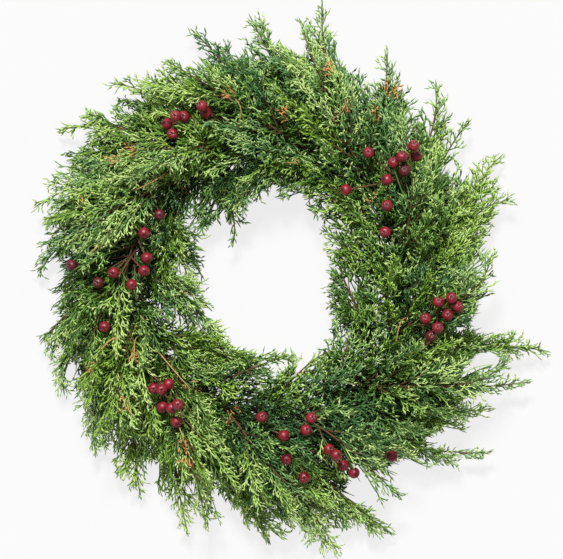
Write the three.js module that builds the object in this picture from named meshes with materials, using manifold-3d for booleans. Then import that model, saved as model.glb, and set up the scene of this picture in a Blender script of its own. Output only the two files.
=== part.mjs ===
// Fresh evergreen wreath with red berries, lying on a surface and seen from above.
//
// Cut bunches of juniper-like evergreen are bound, one after the other, round a welded wire
// ring. Every bunch flows anticlockwise: outer sprays splay out and give the spiky outline,
// top sprays arch over the ring, inner sprays lean into the hole, and six sprigs of red
// berries stand among them.
//
// Units are millimetres and degrees. +Z is up, +X the wreath's right and +Y its top. Sizes
// are measured about the ring's centre, and the finished group is moved at the end so that
// its box stands centred on the origin.

import * as THREE from "three";
import { mergeVertices } from "three/addons/utils/BufferGeometryUtils.js";
import Module from "manifold-3d";

const wasm = await Module();
wasm.setup();

// ---------------------------------------------------------------------------------------
// Driving dimensions
// ---------------------------------------------------------------------------------------

// The wire ring: two low rails, two raised rails and six cross bars between them.
const rodSize = 2.6;
const railSides = 24;
const lowRailRadii = [128, 172];
const midRailRadii = [143, 157];
const weldSink = 0.2;
const barBottom = rodSize - weldSink;
const midRailBottom = barBottom + rodSize - weldSink;
const midRailTop = midRailBottom + rodSize;
const barCount = 6;
const barFirstAngle = 7.5;

const weldTolerance = 1e-4;

// One binding turn ties one bunch. Touching pieces keep this gap.
const turnStep = 15;
const turnCount = 360 / turnStep;
const touchGap = 0.3;

// Cut ends: a straight stretch before and behind their own binding turn.
const buttRadius = 2.6;
const buttBefore = 13;
const buttAfter = 5;
const buttHeight = midRailTop + touchGap + buttRadius / 2;
const outerSlot = 157;
const innerSlot = 143;
const sprigSlot = 150;
const sprigButtRadius = 2.2;
const sprigButtBefore = 24;
const sprigButtHeight = barBottom + rodSize + touchGap + sprigButtRadius / 2;

// Binding wire, three-sided. It drifts forward while it goes round a bunch, and dips under
// each cross bar on its way to the next one.
const wireRadius = 0.8;
const wireGap = 0.4;
const wireSlack = 0.4;
const wireShoulder = 1.2;
const wireDrift = 3;
const wireDipHeight = 1.4;
const wireDipHalfLength = 3.2;

// How each row of stems grows. It leaves the binding at a rise in degrees and holds it for
// a length, is drawn over its crest by a lift, and arrives straight for a length. Its buds
// sit at shares of its length, and its twigs grow shorter from the first one on.
const outerHabit = {
  rise: 22, leave: 52, lift: 6, arrive: 62, buds: 6, firstBud: 0.2, lastBud: 0.87, longestTwig: 50,
};
const topHabit = {
  rise: 46, leave: 62, lift: 16, arrive: 70, buds: 6, firstBud: 0.26, lastBud: 0.87, longestTwig: 50,
};
const innerHabit = {
  rise: 32, leave: 40, lift: 6, arrive: 40, buds: 5, firstBud: 0.28, lastBud: 0.84, longestTwig: 34,
};
const sprigHabit = { rise: 40, leave: 46, lift: 3, arrive: 44, lastBud: 0.9 };

// Twigs and prongs. Angles are away from the direction of growth.
const stemTipRadius = 0.95;
const budLength = 5;
const twigSpread = 42;
const twigForward = 31;
const prongSpread = 36;
const angleSway = 5;
const elbowShare = 0.3;
const twigRootRadius = 1.7;
const twigRadius = 1.3;
const twigTaper = 0.25;
const forkStep = 0.1;
const longestForkStretch = 4;
const forkStretchShare = 0.13;
const doubleForkLength = 47;
const shortestTwig = 12;
const tipTwig = 17;
const pronglessRanks = 2;
const prongRadius = 0.9;
const prongLengths = [11, 15];
const shortProng = 7;
const growthGap = 0.5;
const ownGap = 0.2;
const lowestFoliage = 2.2;

// Berries: the angles at which they may lean away from their fork. The profile gives height
// and width as shares of the radius.
const berryRadius = 6.25;
const berrySides = 6;
const berryProfile = [[0.36, 0.84], [1.3, 0.93], [1.88, 0.4]];
const calyxDepth = 1.62;
const stalkRadius = 0.95;
const stalkReach = 14;
const berryTilts = [25, 5, 45, -20];
const berryGap = 0.6;

// ---------------------------------------------------------------------------------------
// Where the bunches are, read off the wreath by eye
// ---------------------------------------------------------------------------------------

// One outer spray per binding turn, from the turn at -30 degrees on. Each row: the angle
// and radius of the tip, the direction it points in, its height, and the rise at its middle.
const outerSprays = [
  [17.5, 282, 340, 24, 22],
  [28.7, 291, 40, 14, 36],
  [38.9, 283, 45, 26, 22],
  [50.9, 285, 100, 16, 34],
  [63.7, 286, 92, 28, 22],
  [79.7, 311, 88, 14, 34],
  [94.9, 294, 120, 26, 22],
  [107.9, 291, 140, 14, 34],
  [129.5, 281, 175, 26, 22],
  [145.4, 286, 205, 14, 34],
  [163.2, 272, 220, 26, 22],
  [179.5, 256, 250, 14, 34],
  [194.9, 263, 225, 28, 22],
  [209.3, 259, 280, 14, 34],
  [225.5, 270, 290, 26, 22],
  [239, 276, 285, 14, 34],
  [252, 292, 286, 26, 22],
  [270, 288, 299, 14, 34],
  [284, 312, 295, 28, 22],
  [296, 310, 315, 14, 34],
  [322.6, 307, 0, 26, 22],
  [330.4, 281, 10, 12, 34],
  [339, 305, 12, 30, 22],
  [345.7, 317, 345, 14, 34],
];
const outerFirstTurn = -30;

// One top spray on every second turn, from 0 degrees on: tip angle, radius, direction,
// tip height and crest height.
const topSprays = [
  [55, 225, 130, 66, 84],
  [84, 290, 105, 46, 80],
  [115.6, 267, 150, 50, 84],
  [140, 215, 190, 68, 82],
  [172, 225, 235, 62, 84],
  [205, 220, 265, 66, 85],
  [228, 235, 290, 60, 84],
  [256, 280, 285, 46, 80],
  [280, 240, 330, 64, 84],
  [301, 278, 315, 48, 80],
  [343, 273, 60, 46, 84],
  [367, 242, 80, 62, 80],
];

// One inner spray on every other second turn, from -15 degrees on: tip angle, radius,
// direction, tip height and rise.
const innerSprays = [
  [47.8, 81, 135, 30, 42],
  [24.8, 78, 95, 30, 42],
  [335, 105, 60, 40, 50],
  [310, 100, 20, 30, 42],
  [285, 84, 10, 40, 50],
  [250, 85, 340, 30, 42],
  [208, 72, 310, 40, 50],
  [186, 88, 280, 30, 42],
  [137, 58, 250, 26, 42],
  [120, 95, 205, 44, 54],
  [100, 105, 185, 32, 46],
  [72, 105, 160, 42, 52],
];
const innerTurns = [-15, 315, 285, 255, 225, 195, 165, 135, 105, 75, 45, 15];

// Six sprigs: the turn that ties each, where its stalk ends, and the berries' centres. The
// heights are guessed: most berries stand level with the crests, those outside the ring
// hang lower, and one that lies close beside another in the photo stands over it.
const berrySprigs = [
  {
    turn: 75,
    end: [-84, 170, 58],
    firstFork: 0.66,
    berries: [
      [-71, 183, 75], [-75, 190, 87], [-95, 179, 71], [-103.5, 179, 91.5], [-107, 160, 77.5],
      [-113, 171, 70],
    ],
  },
  {
    turn: 135,
    end: [-158, -8, 48],
    firstFork: 0.22,
    berries: [
      [-121, 72, 80], [-138, 52, 80], [-135, 25, 80], [-138, 11, 80], [-171, 9, 80],
      [-151.5, -4, 80], [-187.5, -2, 80], [-217, 17, 62], [-181, -50, 80],
    ],
  },
  {
    turn: 195,
    end: [-116, -116, 58],
    firstFork: 0.5,
    berries: [
      [-127.5, -117, 80], [-119, -118, 90.5], [-111, -112, 80], [-118, -137, 80],
      [-108, -138, 89], [-101, -134, 101], [-102.5, -153, 80],
    ],
  },
  {
    turn: 255,
    end: [90, -186, 56],
    firstFork: 0.14,
    berries: [
      [-10, -148, 80], [14, -168, 80], [44, -149, 80], [38, -162, 80], [17, -194, 76],
      [36, -214, 62.5], [63, -183, 76.5], [71, -189, 87], [78.5, -201, 63],
      [90.5, -209, 56], [132, -191, 53.5],
    ],
  },
  {
    turn: 315,
    end: [184, -44, 58],
    firstFork: 0.55,
    berries: [
      [174, -60, 80], [181, -51, 87.5], [168, -41, 80], [192, -37, 75.5], [203, -28, 79],
      [182, -23, 80], [196, -18.5, 85.5],
    ],
  },
  {
    turn: 15,
    end: [134, 118, 58],
    firstFork: 0.22,
    berries: [
      [124, 53, 80], [126, 82, 80], [81, 99, 80], [126, 110, 80], [145, 120, 80],
      [133, 129, 80], [106, 139.5, 80], [142, 135, 88.5], [158, 136, 67.5], [155, 147, 84],
    ],
  },
];

// ---------------------------------------------------------------------------------------
// Directions and repeatable chance
// ---------------------------------------------------------------------------------------

const up = new THREE.Vector3(0, 0, 1);

function polar(angle, radius, height) {
  const turn = THREE.MathUtils.degToRad(angle);
  return new THREE.Vector3(radius * Math.cos(turn), radius * Math.sin(turn), height);
}

// The unit vector that points along a compass angle, lifted by a rise above the level.
function heading(angle, rise = 0) {
  const lift = THREE.MathUtils.degToRad(rise);
  return polar(angle, Math.cos(lift), Math.sin(lift));
}

// The two directions across a line of growth: to its side and over it.
function crossFrame(along) {
  const side = new THREE.Vector3().crossVectors(up, along).normalize();
  const over = new THREE.Vector3().crossVectors(along, side);
  return { side, over };
}

// The direction that leans away from a line of growth by an angle, towards one side of it.
function lean(along, towards, angle) {
  const turn = THREE.MathUtils.degToRad(angle);
  const level = along.clone().multiplyScalar(Math.cos(turn));
  return level.addScaledVector(towards, Math.sin(turn)).normalize();
}

// A direction across a line of growth, round it from the side (0) over the top (90).
function across(frame, angle) {
  const turn = THREE.MathUtils.degToRad(angle);
  const level = frame.side.clone().multiplyScalar(Math.cos(turn));
  return level.addScaledVector(frame.over, Math.sin(turn));
}

class Chance {
  constructor(seed) {
    this.state = seed;
  }

  between(low, high) {
    this.state = (this.state * 48271) % 2147483647;
    return low + ((high - low) * this.state) / 2147483647;
  }
}

// ---------------------------------------------------------------------------------------
// Room: what is already placed, kept as round-ended rods
// ---------------------------------------------------------------------------------------

class Room {
  constructor() {
    this.rods = [];
  }

  rod(owner, start, end, radius) {
    const line = new THREE.Line3(start.clone(), end.clone());
    const box = new THREE.Box3().setFromPoints([start, end]).expandByScalar(radius + growthGap);
    return { owner, line, radius, box };
  }

  // True if every new rod keeps its gap to all that is placed, apart from its neighbours.
  fits(newRods, neighbours) {
    return newRods.every((rod) => this.rods.every((other) => {
      if (!rod.box.intersectsBox(other.box)) {
        return true;
      }
      const own = rod.owner === other.owner;
      if (own && neighbours.includes(other)) {
        return true;
      }
      const reach = rod.radius + other.radius + (own ? ownGap : growthGap);
      return rod.line.distanceSqToLine3(other.line) > reach * reach;
    }));
  }

  place(newRods) {
    this.rods.push(...newRods);
  }
}

const room = new Room();

// A triangle carries growth in a direction if the cosine of the angle between is over this.
const leastFacing = 0.15;

// ---------------------------------------------------------------------------------------
// Growth: one closed skin, grown from a stem by raising its own triangles
// ---------------------------------------------------------------------------------------

class Growth {
  constructor(name) {
    this.name = name;
    this.points = [];
    this.faces = [];
  }

  addPoint(point) {
    this.points.push(point.clone());
    return this.points.length - 1;
  }

  // A ring of points round a centre. Its first point lies at the angle given by roll.
  addRing(centre, along, radius, roll, sides = 3) {
    const frame = crossFrame(along);
    const ring = [];
    for (let k = 0; k < sides; k += 1) {
      const out = across(frame, roll + (360 * k) / sides);
      ring.push(this.addPoint(centre.clone().addScaledVector(out, radius)));
    }
    return ring;
  }

  // The roll that lines a new ring up with the ring before it.
  rollFrom(ring, centre, along) {
    const frame = crossFrame(along);
    let x = 0;
    let y = 0;
    ring.forEach((index, k) => {
      const out = this.points[index].clone().sub(centre);
      const angle = Math.atan2(out.dot(frame.over), out.dot(frame.side));
      x += Math.cos(angle - (2 * Math.PI * k) / ring.length);
      y += Math.sin(angle - (2 * Math.PI * k) / ring.length);
    });
    return THREE.MathUtils.radToDeg(Math.atan2(y, x));
  }

  // Skins the stretch between two rings and returns the numbers of its triangles. The
  // first one takes the slot of a triangle that the stretch grows out of, if one is given.
  join(lower, upper, slot = this.faces.length) {
    const made = [];
    let i = 0;
    let j = 0;
    while (i < lower.length || j < upper.length) {
      const a = lower[i % lower.length];
      const b = upper[j % upper.length];
      const lowerNext = (i + 1) / lower.length <= (j + 1) / upper.length;
      const third = lowerNext ? lower[(i + 1) % lower.length] : upper[(j + 1) % upper.length];
      const index = made.length === 0 ? slot : this.faces.length;
      this.faces[index] = [a, third, b];
      made.push(index);
      if (lowerNext) {
        i += 1;
      } else {
        j += 1;
      }
    }
    return made;
  }

  // Closes a ring with a point, over it or sunk into it.
  close(ring, point) {
    const tip = this.addPoint(point);
    ring.forEach((index, k) => {
      this.faces.push([index, ring[(k + 1) % ring.length], tip]);
    });
  }

  // Stands a pointed prong on the edges of one triangle.
  raise(face, point) {
    const [a, b, c] = this.faces[face];
    const tip = this.addPoint(point);
    this.faces[face] = [a, b, tip];
    this.faces.push([b, c, tip], [c, a, tip]);
  }

  centre(face) {
    const sum = new THREE.Vector3();
    this.faces[face].forEach((index) => sum.add(this.points[index]));
    return sum.divideScalar(3);
  }

  normal(face) {
    const [a, b, c] = this.faces[face].map((index) => this.points[index]);
    return new THREE.Triangle(a, b, c).getNormal(new THREE.Vector3());
  }

  // Makes a change to the skin, and takes it back if a new triangle crosses another one.
  attempt(change) {
    const faces = this.faces.slice();
    const settled = new Set(faces);
    const pointCount = this.points.length;
    change();
    const fresh = this.faces.filter((face) => !settled.has(face));
    if (fresh.some((face) => this.faces.some((other) => this.crosses(face, other)))) {
      this.faces = faces;
      this.points.length = pointCount;
      return false;
    }
    return true;
  }

  // True if an edge of one triangle goes through the other, away from corners they share.
  crosses(face, other) {
    const mine = face.map((index) => this.points[index]);
    const theirs = other.map((index) => this.points[index]);
    const apart = ["x", "y", "z"].some((axis) => {
      const [a, b] = [mine, theirs].map((corners) => corners.map((corner) => corner[axis]));
      return Math.max(...a) < Math.min(...b) || Math.max(...b) < Math.min(...a);
    });
    if (apart || face === other) {
      return false;
    }
    return pierces(face, mine, other, theirs) || pierces(other, theirs, face, mine);
  }

  geometry() {
    const geometry = new THREE.BufferGeometry();
    const numbers = this.points.flatMap((point) => point.toArray());
    geometry.setAttribute("position", new THREE.Float32BufferAttribute(numbers, 3));
    geometry.setIndex(this.faces.flat());
    return geometry;
  }
}

// True if an edge of one triangle goes through the inside of another.
function pierces(face, corners, other, otherCorners) {
  return [0, 1, 2].some((k) => {
    const next = (k + 1) % 3;
    if (other.includes(face[k]) || other.includes(face[next])) {
      return false;
    }
    const direction = corners[next].clone().sub(corners[k]);
    const ray = new THREE.Ray(corners[k], direction.clone().normalize());
    const hit = ray.intersectTriangle(...otherCorners, false, new THREE.Vector3());
    return hit !== null && hit.distanceTo(corners[k]) <= direction.length();
  });
}

// A stretch of stem that twigs and prongs may grow out of: its free triangles, direction
// and place, and the rods beside it.
class Bud {
  constructor(growth, faces, along, place, neighbours) {
    this.growth = growth;
    this.free = faces;
    this.along = along;
    this.place = place;
    this.neighbours = neighbours;
  }

  // The free triangle that faces a direction best, or none if all of them turn away.
  faceTowards(direction) {
    let best = null;
    let bestFacing = leastFacing;
    for (const face of this.free) {
      const facing = this.growth.normal(face).dot(direction);
      if (facing > bestFacing) {
        best = face;
        bestFacing = facing;
      }
    }
    return best;
  }

  use(face) {
    this.free = this.free.filter((other) => other !== face);
  }
}

// ---------------------------------------------------------------------------------------
// Wire frame
// ---------------------------------------------------------------------------------------

function solidOf(geometry) {
  const bare = geometry.toNonIndexed();
  bare.deleteAttribute("normal");
  bare.deleteAttribute("uv");
  const merged = mergeVertices(bare, weldTolerance);
  return new wasm.Manifold(new wasm.Mesh({
    numProp: 3,
    vertProperties: new Float32Array(merged.getAttribute("position").array),
    triVerts: new Uint32Array(merged.getIndex().array),
  }));
}

function geometryOf(solid) {
  const mesh = solid.getMesh();
  const geometry = new THREE.BufferGeometry();
  geometry.setAttribute("position", new THREE.BufferAttribute(mesh.vertProperties, 3));
  geometry.setIndex(new THREE.BufferAttribute(mesh.triVerts, 1));
  return geometry;
}

// A ring of square wire. Its flats, not its corners, lie at the stated radius, and one of
// them faces each binding turn.
function railGeometry(radius, bottom) {
  const cornerScale = 1 / Math.cos(Math.PI / railSides);
  const inner = (radius - rodSize / 2) * cornerScale;
  const outer = (radius + rodSize / 2) * cornerScale;
  const profile = [
    new THREE.Vector2(inner, bottom),
    new THREE.Vector2(outer, bottom),
    new THREE.Vector2(outer, bottom + rodSize),
    new THREE.Vector2(inner, bottom + rodSize),
    new THREE.Vector2(inner, bottom),
  ];
  const rail = new THREE.LatheGeometry(profile, railSides, Math.PI / railSides);
  return rail.rotateX(Math.PI / 2);
}

function barGeometry(angle) {
  const length = lowRailRadii[1] - lowRailRadii[0] + rodSize;
  const middle = (lowRailRadii[0] + lowRailRadii[1]) / 2;
  const bar = new THREE.BoxGeometry(length, rodSize, rodSize);
  bar.translate(middle, 0, barBottom + rodSize / 2);
  return bar.rotateZ(THREE.MathUtils.degToRad(angle));
}

function frameGeometry() {
  const rails = [
    ...lowRailRadii.map((radius) => railGeometry(radius, 0)),
    ...midRailRadii.map((radius) => railGeometry(radius, midRailBottom)),
  ];
  let frame = solidOf(rails[0]);
  for (const rail of rails.slice(1)) {
    frame = frame.add(solidOf(rail));
  }
  for (let k = 0; k < barCount; k += 1) {
    frame = frame.add(solidOf(barGeometry(barFirstAngle + (360 * k) / barCount)));
  }
  return geometryOf(frame);
}

function placeFrameRods() {
  const halfDiagonal = rodSize / Math.SQRT2;
  const cornerScale = 1 / Math.cos(Math.PI / railSides);
  const rails = [
    ...lowRailRadii.map((radius) => [radius, rodSize / 2]),
    ...midRailRadii.map((radius) => [radius, midRailBottom + rodSize / 2]),
  ];
  for (const [radius, height] of rails) {
    for (let k = 0; k < railSides; k += 1) {
      const start = polar((k - 0.5) * turnStep, radius * cornerScale, height);
      const end = polar((k + 0.5) * turnStep, radius * cornerScale, height);
      room.place([room.rod("wire_frame", start, end, halfDiagonal)]);
    }
  }
  for (let k = 0; k < barCount; k += 1) {
    const angle = barFirstAngle + (360 * k) / barCount;
    const start = polar(angle, lowRailRadii[0], barBottom + rodSize / 2);
    const end = polar(angle, lowRailRadii[1], barBottom + rodSize / 2);
    room.place([room.rod("wire_frame", start, end, halfDiagonal)]);
  }
}

// ---------------------------------------------------------------------------------------
// Binding wire
// ---------------------------------------------------------------------------------------

// Where the wire goes round the raised rails and the cut ends at one turn, seen along the
// ring as radius and height: under the outer rail, up past the outer butt, over both, and
// down past the inner butt to the underside of the inner rail.
function bindingLoop() {
  const off = wireRadius + wireGap;
  const bottom = midRailBottom - off;
  const buttBottom = buttHeight - buttRadius / 2;
  const top = buttHeight + buttRadius + off;
  const railSide = rodSize / 2 + off + wireSlack;
  const buttSide = buttRadius * Math.cos(Math.PI / 6) + off + wireSlack;
  return [
    [outerSlot + railSide, bottom],
    [outerSlot + buttSide, buttBottom],
    [outerSlot + wireShoulder, top],
    [innerSlot - wireShoulder, top],
    [innerSlot - buttSide, buttBottom],
    [innerSlot - railSide, bottom],
  ];
}

// Two points under the cross bar that lies half a turn step ahead, on the way out again.
function dipPoints(angle) {
  const halfStep = turnStep / 2;
  const dipAngle = THREE.MathUtils.radToDeg(wireDipHalfLength / sprigSlot);
  return [-dipAngle, dipAngle].map((offset) => {
    const radius = THREE.MathUtils.lerp(innerSlot, outerSlot, 0.5 + offset / turnStep);
    return polar(angle + halfStep + offset, radius, wireDipHeight);
  });
}

function bindingPath() {
  const loop = bindingLoop();
  const path = [];
  for (let k = 0; k < turnCount; k += 1) {
    const angle = k * turnStep;
    const forward = heading(angle + 90);
    loop.forEach(([radius, height], step) => {
      const drift = wireDrift * (step / (loop.length - 1) - 0.5);
      path.push(polar(angle, radius, height).addScaledVector(forward, drift));
    });
    const barAhead = (angle + turnStep / 2 - barFirstAngle) % (360 / barCount) === 0;
    if (barAhead && k < turnCount - 1) {
      path.push(...dipPoints(angle));
    }
  }
  return path;
}

function growBindingWire() {
  const growth = new Growth("binding_wire");
  const path = bindingPath();
  let ring = null;
  path.forEach((point, k) => {
    const before = path[Math.max(k - 1, 0)];
    const after = path[Math.min(k + 1, path.length - 1)];
    const along = after.clone().sub(point).normalize();
    along.add(point.clone().sub(before).normalize()).normalize();
    const roll = ring ? growth.rollFrom(ring, before, along) : 90;
    const next = growth.addRing(point, along, wireRadius, roll);
    if (ring) {
      growth.join(ring, next);
      room.place([room.rod("binding_wire", before, point, wireRadius)]);
    } else {
      growth.faces.push([next[0], next[2], next[1]]);
    }
    ring = next;
  });
  growth.faces.push(ring);
  return growth;
}

// ---------------------------------------------------------------------------------------
// Stems
// ---------------------------------------------------------------------------------------

// The curve from a butt to a tip: it leaves the binding along the ring at a rise, and
// arrives at the tip in the tip's own direction, coming down from its crest.
function stemCurve(turn, slot, habit, tip, tipHeading, crest) {
  const start = polar(turn, slot.radius, slot.height);
  start.addScaledVector(heading(turn + 90), buttAfter);
  const leaveEnd = start.clone().addScaledVector(heading(turn + 90, habit.rise), habit.leave);
  const arriveStart = tip.clone().addScaledVector(heading(tipHeading), -habit.arrive);
  arriveStart.z = crest + habit.lift;
  return new THREE.CubicBezierCurve3(start, leaveEnd, arriveStart, tip);
}

// Grows a stem with its straight butt and its buds, and leaves its tip as one prong. Each
// bud is a short stretch with a long one before it.
function growStem(name, turn, slot, curve, budPositions) {
  const growth = new Growth(name);
  const tangent = heading(turn + 90);
  const buttStart = polar(turn, slot.radius, slot.height).addScaledVector(tangent, -slot.before);
  const first = growth.addRing(buttStart, tangent, slot.thickness, 90);
  growth.faces.push([first[0], first[2], first[1]]);
  const budShare = budLength / curve.getLength();
  const stations = [0, ...budPositions.flatMap((position) => [position, position + budShare])];
  let ring = first;
  let before = buttStart;
  let beforeRadius = slot.thickness;
  const stretches = stations.map((station) => {
    const centre = curve.getPointAt(station);
    const along = curve.getTangentAt(station);
    const radius = THREE.MathUtils.lerp(slot.thickness, stemTipRadius, station ** 0.7);
    const next = growth.addRing(centre, along, radius, 90);
    const faces = growth.join(ring, next);
    const rod = room.rod(name, before, centre, beforeRadius);
    const stretch = { faces, along, rod, place: before };
    ring = next;
    before = centre;
    beforeRadius = radius;
    return stretch;
  });
  const tip = curve.getPointAt(1);
  growth.close(ring, tip);
  const tipRod = room.rod(name, before, tip, beforeRadius);
  growth.rods = [...stretches.map((stretch) => stretch.rod), tipRod];
  growth.buds = budPositions.map((position, k) => {
    const at = 2 + 2 * k;
    const { faces, along, place } = stretches[at];
    return new Bud(growth, faces, along, place, growth.rods.slice(at - 1, at + 2));
  });
  room.place(growth.rods);
  return growth;
}

// ---------------------------------------------------------------------------------------
// Twigs and prongs
// ---------------------------------------------------------------------------------------

function tryProng(bud, direction, length) {
  const face = bud.faceTowards(direction);
  if (face === null) {
    return false;
  }
  const base = bud.growth.centre(face);
  const tip = base.clone().addScaledVector(direction, length);
  const rod = room.rod(bud.growth.name, base, tip, prongRadius);
  if (tip.z < lowestFoliage || !room.fits([rod], bud.neighbours)) {
    return false;
  }
  if (!bud.growth.attempt(() => bud.growth.raise(face, tip))) {
    return false;
  }
  bud.use(face);
  room.place([rod]);
  bud.neighbours = [...bud.neighbours, rod];
  return true;
}

// A twig is a small antler: it leaves the stem at a wide angle, bends forward, and forks
// into prongs at one or two places.
function tryTwig(bud, side, length, chance) {
  const { growth } = bud;
  const out = lean(bud.along, side, twigSpread + chance.between(-angleSway, angleSway));
  const onward = lean(bud.along, side, twigForward + chance.between(-angleSway, angleSway));
  const face = bud.faceTowards(out);
  if (face === null) {
    return false;
  }
  const root = growth.centre(face);
  const elbow = root.clone().addScaledVector(out, length * elbowShare);
  const tip = elbow.clone().addScaledVector(onward, length * (1 - elbowShare));
  const rods = [
    room.rod(growth.name, root, elbow, twigRootRadius),
    room.rod(growth.name, elbow, tip, twigRadius),
  ];
  if (tip.z < lowestFoliage + twigRadius || !room.fits(rods, bud.neighbours)) {
    return false;
  }
  const forkShares = length > doubleForkLength ? [0, 0.52] : [0.08];
  const forks = [];
  const whole = growth.attempt(() => {
    let ring = growth.faces[face];
    forkShares.forEach((share, k) => {
      const start = elbow.clone().lerp(tip, share);
      const stretch = Math.min(longestForkStretch, length * forkStretchShare);
      const end = start.clone().addScaledVector(onward, stretch);
      const radius = twigRadius - twigTaper * share;
      const along = k === 0 ? out : onward;
      const lower = growth.addRing(start, along, radius, growth.rollFrom(ring, start, along));
      growth.join(ring, lower, k === 0 ? face : undefined);
      const upperRoll = growth.rollFrom(lower, end, onward);
      const upper = growth.addRing(end, onward, radius - forkStep, upperRoll);
      forks.push(new Bud(growth, growth.join(lower, upper), onward, start, [...rods]));
      ring = upper;
    });
    growth.close(ring, tip);
  });
  if (!whole) {
    return false;
  }
  bud.use(face);
  room.place(rods);
  bud.neighbours = [...bud.neighbours, rods[0]];
  const flat = side.clone().addScaledVector(onward, -side.dot(onward)).normalize();
  const over = new THREE.Vector3().crossVectors(onward, flat);
  const forkReach = [0.36, 0.27];
  forks.forEach((fork, k) => {
    const reach = Math.max(shortProng, length * forkReach[k]);
    const third = chance.between(0, 1) < 0.5 ? over : over.clone().negate();
    for (const way of [flat, flat.clone().negate(), third]) {
      const spread = prongSpread + chance.between(-angleSway, angleSway);
      tryProng(fork, lean(onward, way, spread), reach * chance.between(0.85, 1.15));
    }
  });
  return true;
}

// ---------------------------------------------------------------------------------------
// Sprays
// ---------------------------------------------------------------------------------------

function shares(count, from, to) {
  return Array.from({ length: count }, (_, k) => THREE.MathUtils.lerp(from, to, k / (count - 1)));
}

function sprayStem(family, k, turn, slotRadius, habit, row) {
  const [angle, radius, tipHeading, tipHeight, crest] = row;
  const slot = { radius: slotRadius, height: buttHeight, before: buttBefore, thickness: buttRadius };
  const tip = polar(angle, radius, tipHeight);
  const curve = stemCurve(turn, slot, habit, tip, tipHeading, crest);
  const name = `${family}_${String(k + 1).padStart(2, "0")}`;
  const positions = shares(habit.buds, habit.firstBud, habit.lastBud);
  const stem = growStem(name, turn, slot, curve, positions);
  stem.habit = habit;
  return stem;
}

function growSprayStems() {
  const outer = outerSprays.map((row, k) => (
    sprayStem("spray_outer", k, outerFirstTurn + k * turnStep, outerSlot, outerHabit, row)
  ));
  const top = topSprays.map((row, k) => (
    sprayStem("spray_top", k, 2 * k * turnStep, innerSlot, topHabit, row)
  ));
  const inner = innerSprays.map((row, k) => (
    sprayStem("spray_inner", k, innerTurns[k], innerSlot, innerHabit, row)
  ));
  return [...outer, ...top, ...inner];
}

// Gives one side of a bud a twig, the longest and flattest that fits, or else a prong.
function leafSide(bud, frame, angle, liftSign, length, twiggy, chance) {
  const lifts = [chance.between(5, 30), 45, -10, 65, -30];
  const ways = lifts.map((lift) => across(frame, angle + liftSign * lift));
  for (const scale of twiggy ? [1, 0.75, 0.55] : []) {
    for (const way of ways) {
      const twigLength = length * scale * chance.between(0.9, 1.1);
      if (twigLength > shortestTwig && tryTwig(bud, way, twigLength, chance)) {
        return;
      }
    }
  }
  for (const way of ways) {
    if (tryProng(bud, lean(bud.along, way, prongSpread), chance.between(...prongLengths))) {
      return;
    }
  }
}

// Gives one bud its twigs on both sides and a prong over and under it. Rank 0 is the bud
// nearest the tip. The first ranks carry prongs only.
function leafBud(bud, rank, habit, chance) {
  const frame = crossFrame(bud.along);
  const length = THREE.MathUtils.lerp(tipTwig, habit.longestTwig, rank / (habit.buds - 1));
  const sides = [[180, -1], [0, 1]];
  if (chance.between(0, 1) < 0.5) {
    sides.reverse();
  }
  for (const [angle, liftSign] of sides) {
    leafSide(bud, frame, angle, liftSign, length, rank >= pronglessRanks, chance);
  }
  for (const angle of [chance.between(75, 105), chance.between(255, 285)]) {
    const direction = lean(bud.along, across(frame, angle), prongSpread);
    if (!tryProng(bud, direction, chance.between(...prongLengths))) {
      tryProng(bud, direction, shortProng);
    }
  }
}

// Leafs all sprays together, bud by bud from their tips inwards, so that they share the room.
function leafSprays(stems, chance) {
  for (let rank = 0; rank < outerHabit.buds; rank += 1) {
    for (const { buds, habit } of stems) {
      if (rank < habit.buds) {
        leafBud(buds[habit.buds - 1 - rank], rank, habit, chance);
      }
    }
  }
}

// ---------------------------------------------------------------------------------------
// Berry sprigs
// ---------------------------------------------------------------------------------------

// A round berry with a sunk calyx at its far end, grown on the end of a stalk.
function growBerry(growth, ring, foot, axis) {
  let last = ring;
  for (const [height, width] of berryProfile) {
    const centre = foot.clone().addScaledVector(axis, height * berryRadius);
    const roll = growth.rollFrom(last, centre, axis);
    const next = growth.addRing(centre, axis, width * berryRadius, roll, berrySides);
    growth.join(last, next);
    last = next;
  }
  growth.close(last, foot.clone().addScaledVector(axis, calyxDepth * berryRadius));
}

// A sprig's main stalk, with a fork for every two berries.
function sprigStem({ turn, end, firstFork, berries }, k) {
  const slot = {
    radius: sprigSlot,
    height: sprigButtHeight,
    before: sprigButtBefore,
    thickness: sprigButtRadius,
  };
  const tip = new THREE.Vector3(...end);
  const alongRing = THREE.MathUtils.radToDeg(Math.atan2(tip.y, tip.x)) + 90;
  const curve = stemCurve(turn, slot, sprigHabit, tip, alongRing, tip.z);
  const forkCount = Math.max(3, Math.ceil(berries.length / 2));
  const positions = shares(forkCount, firstFork, sprigHabit.lastBud);
  return growStem(`berry_sprig_${k + 1}`, turn, slot, curve, positions);
}

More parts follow.
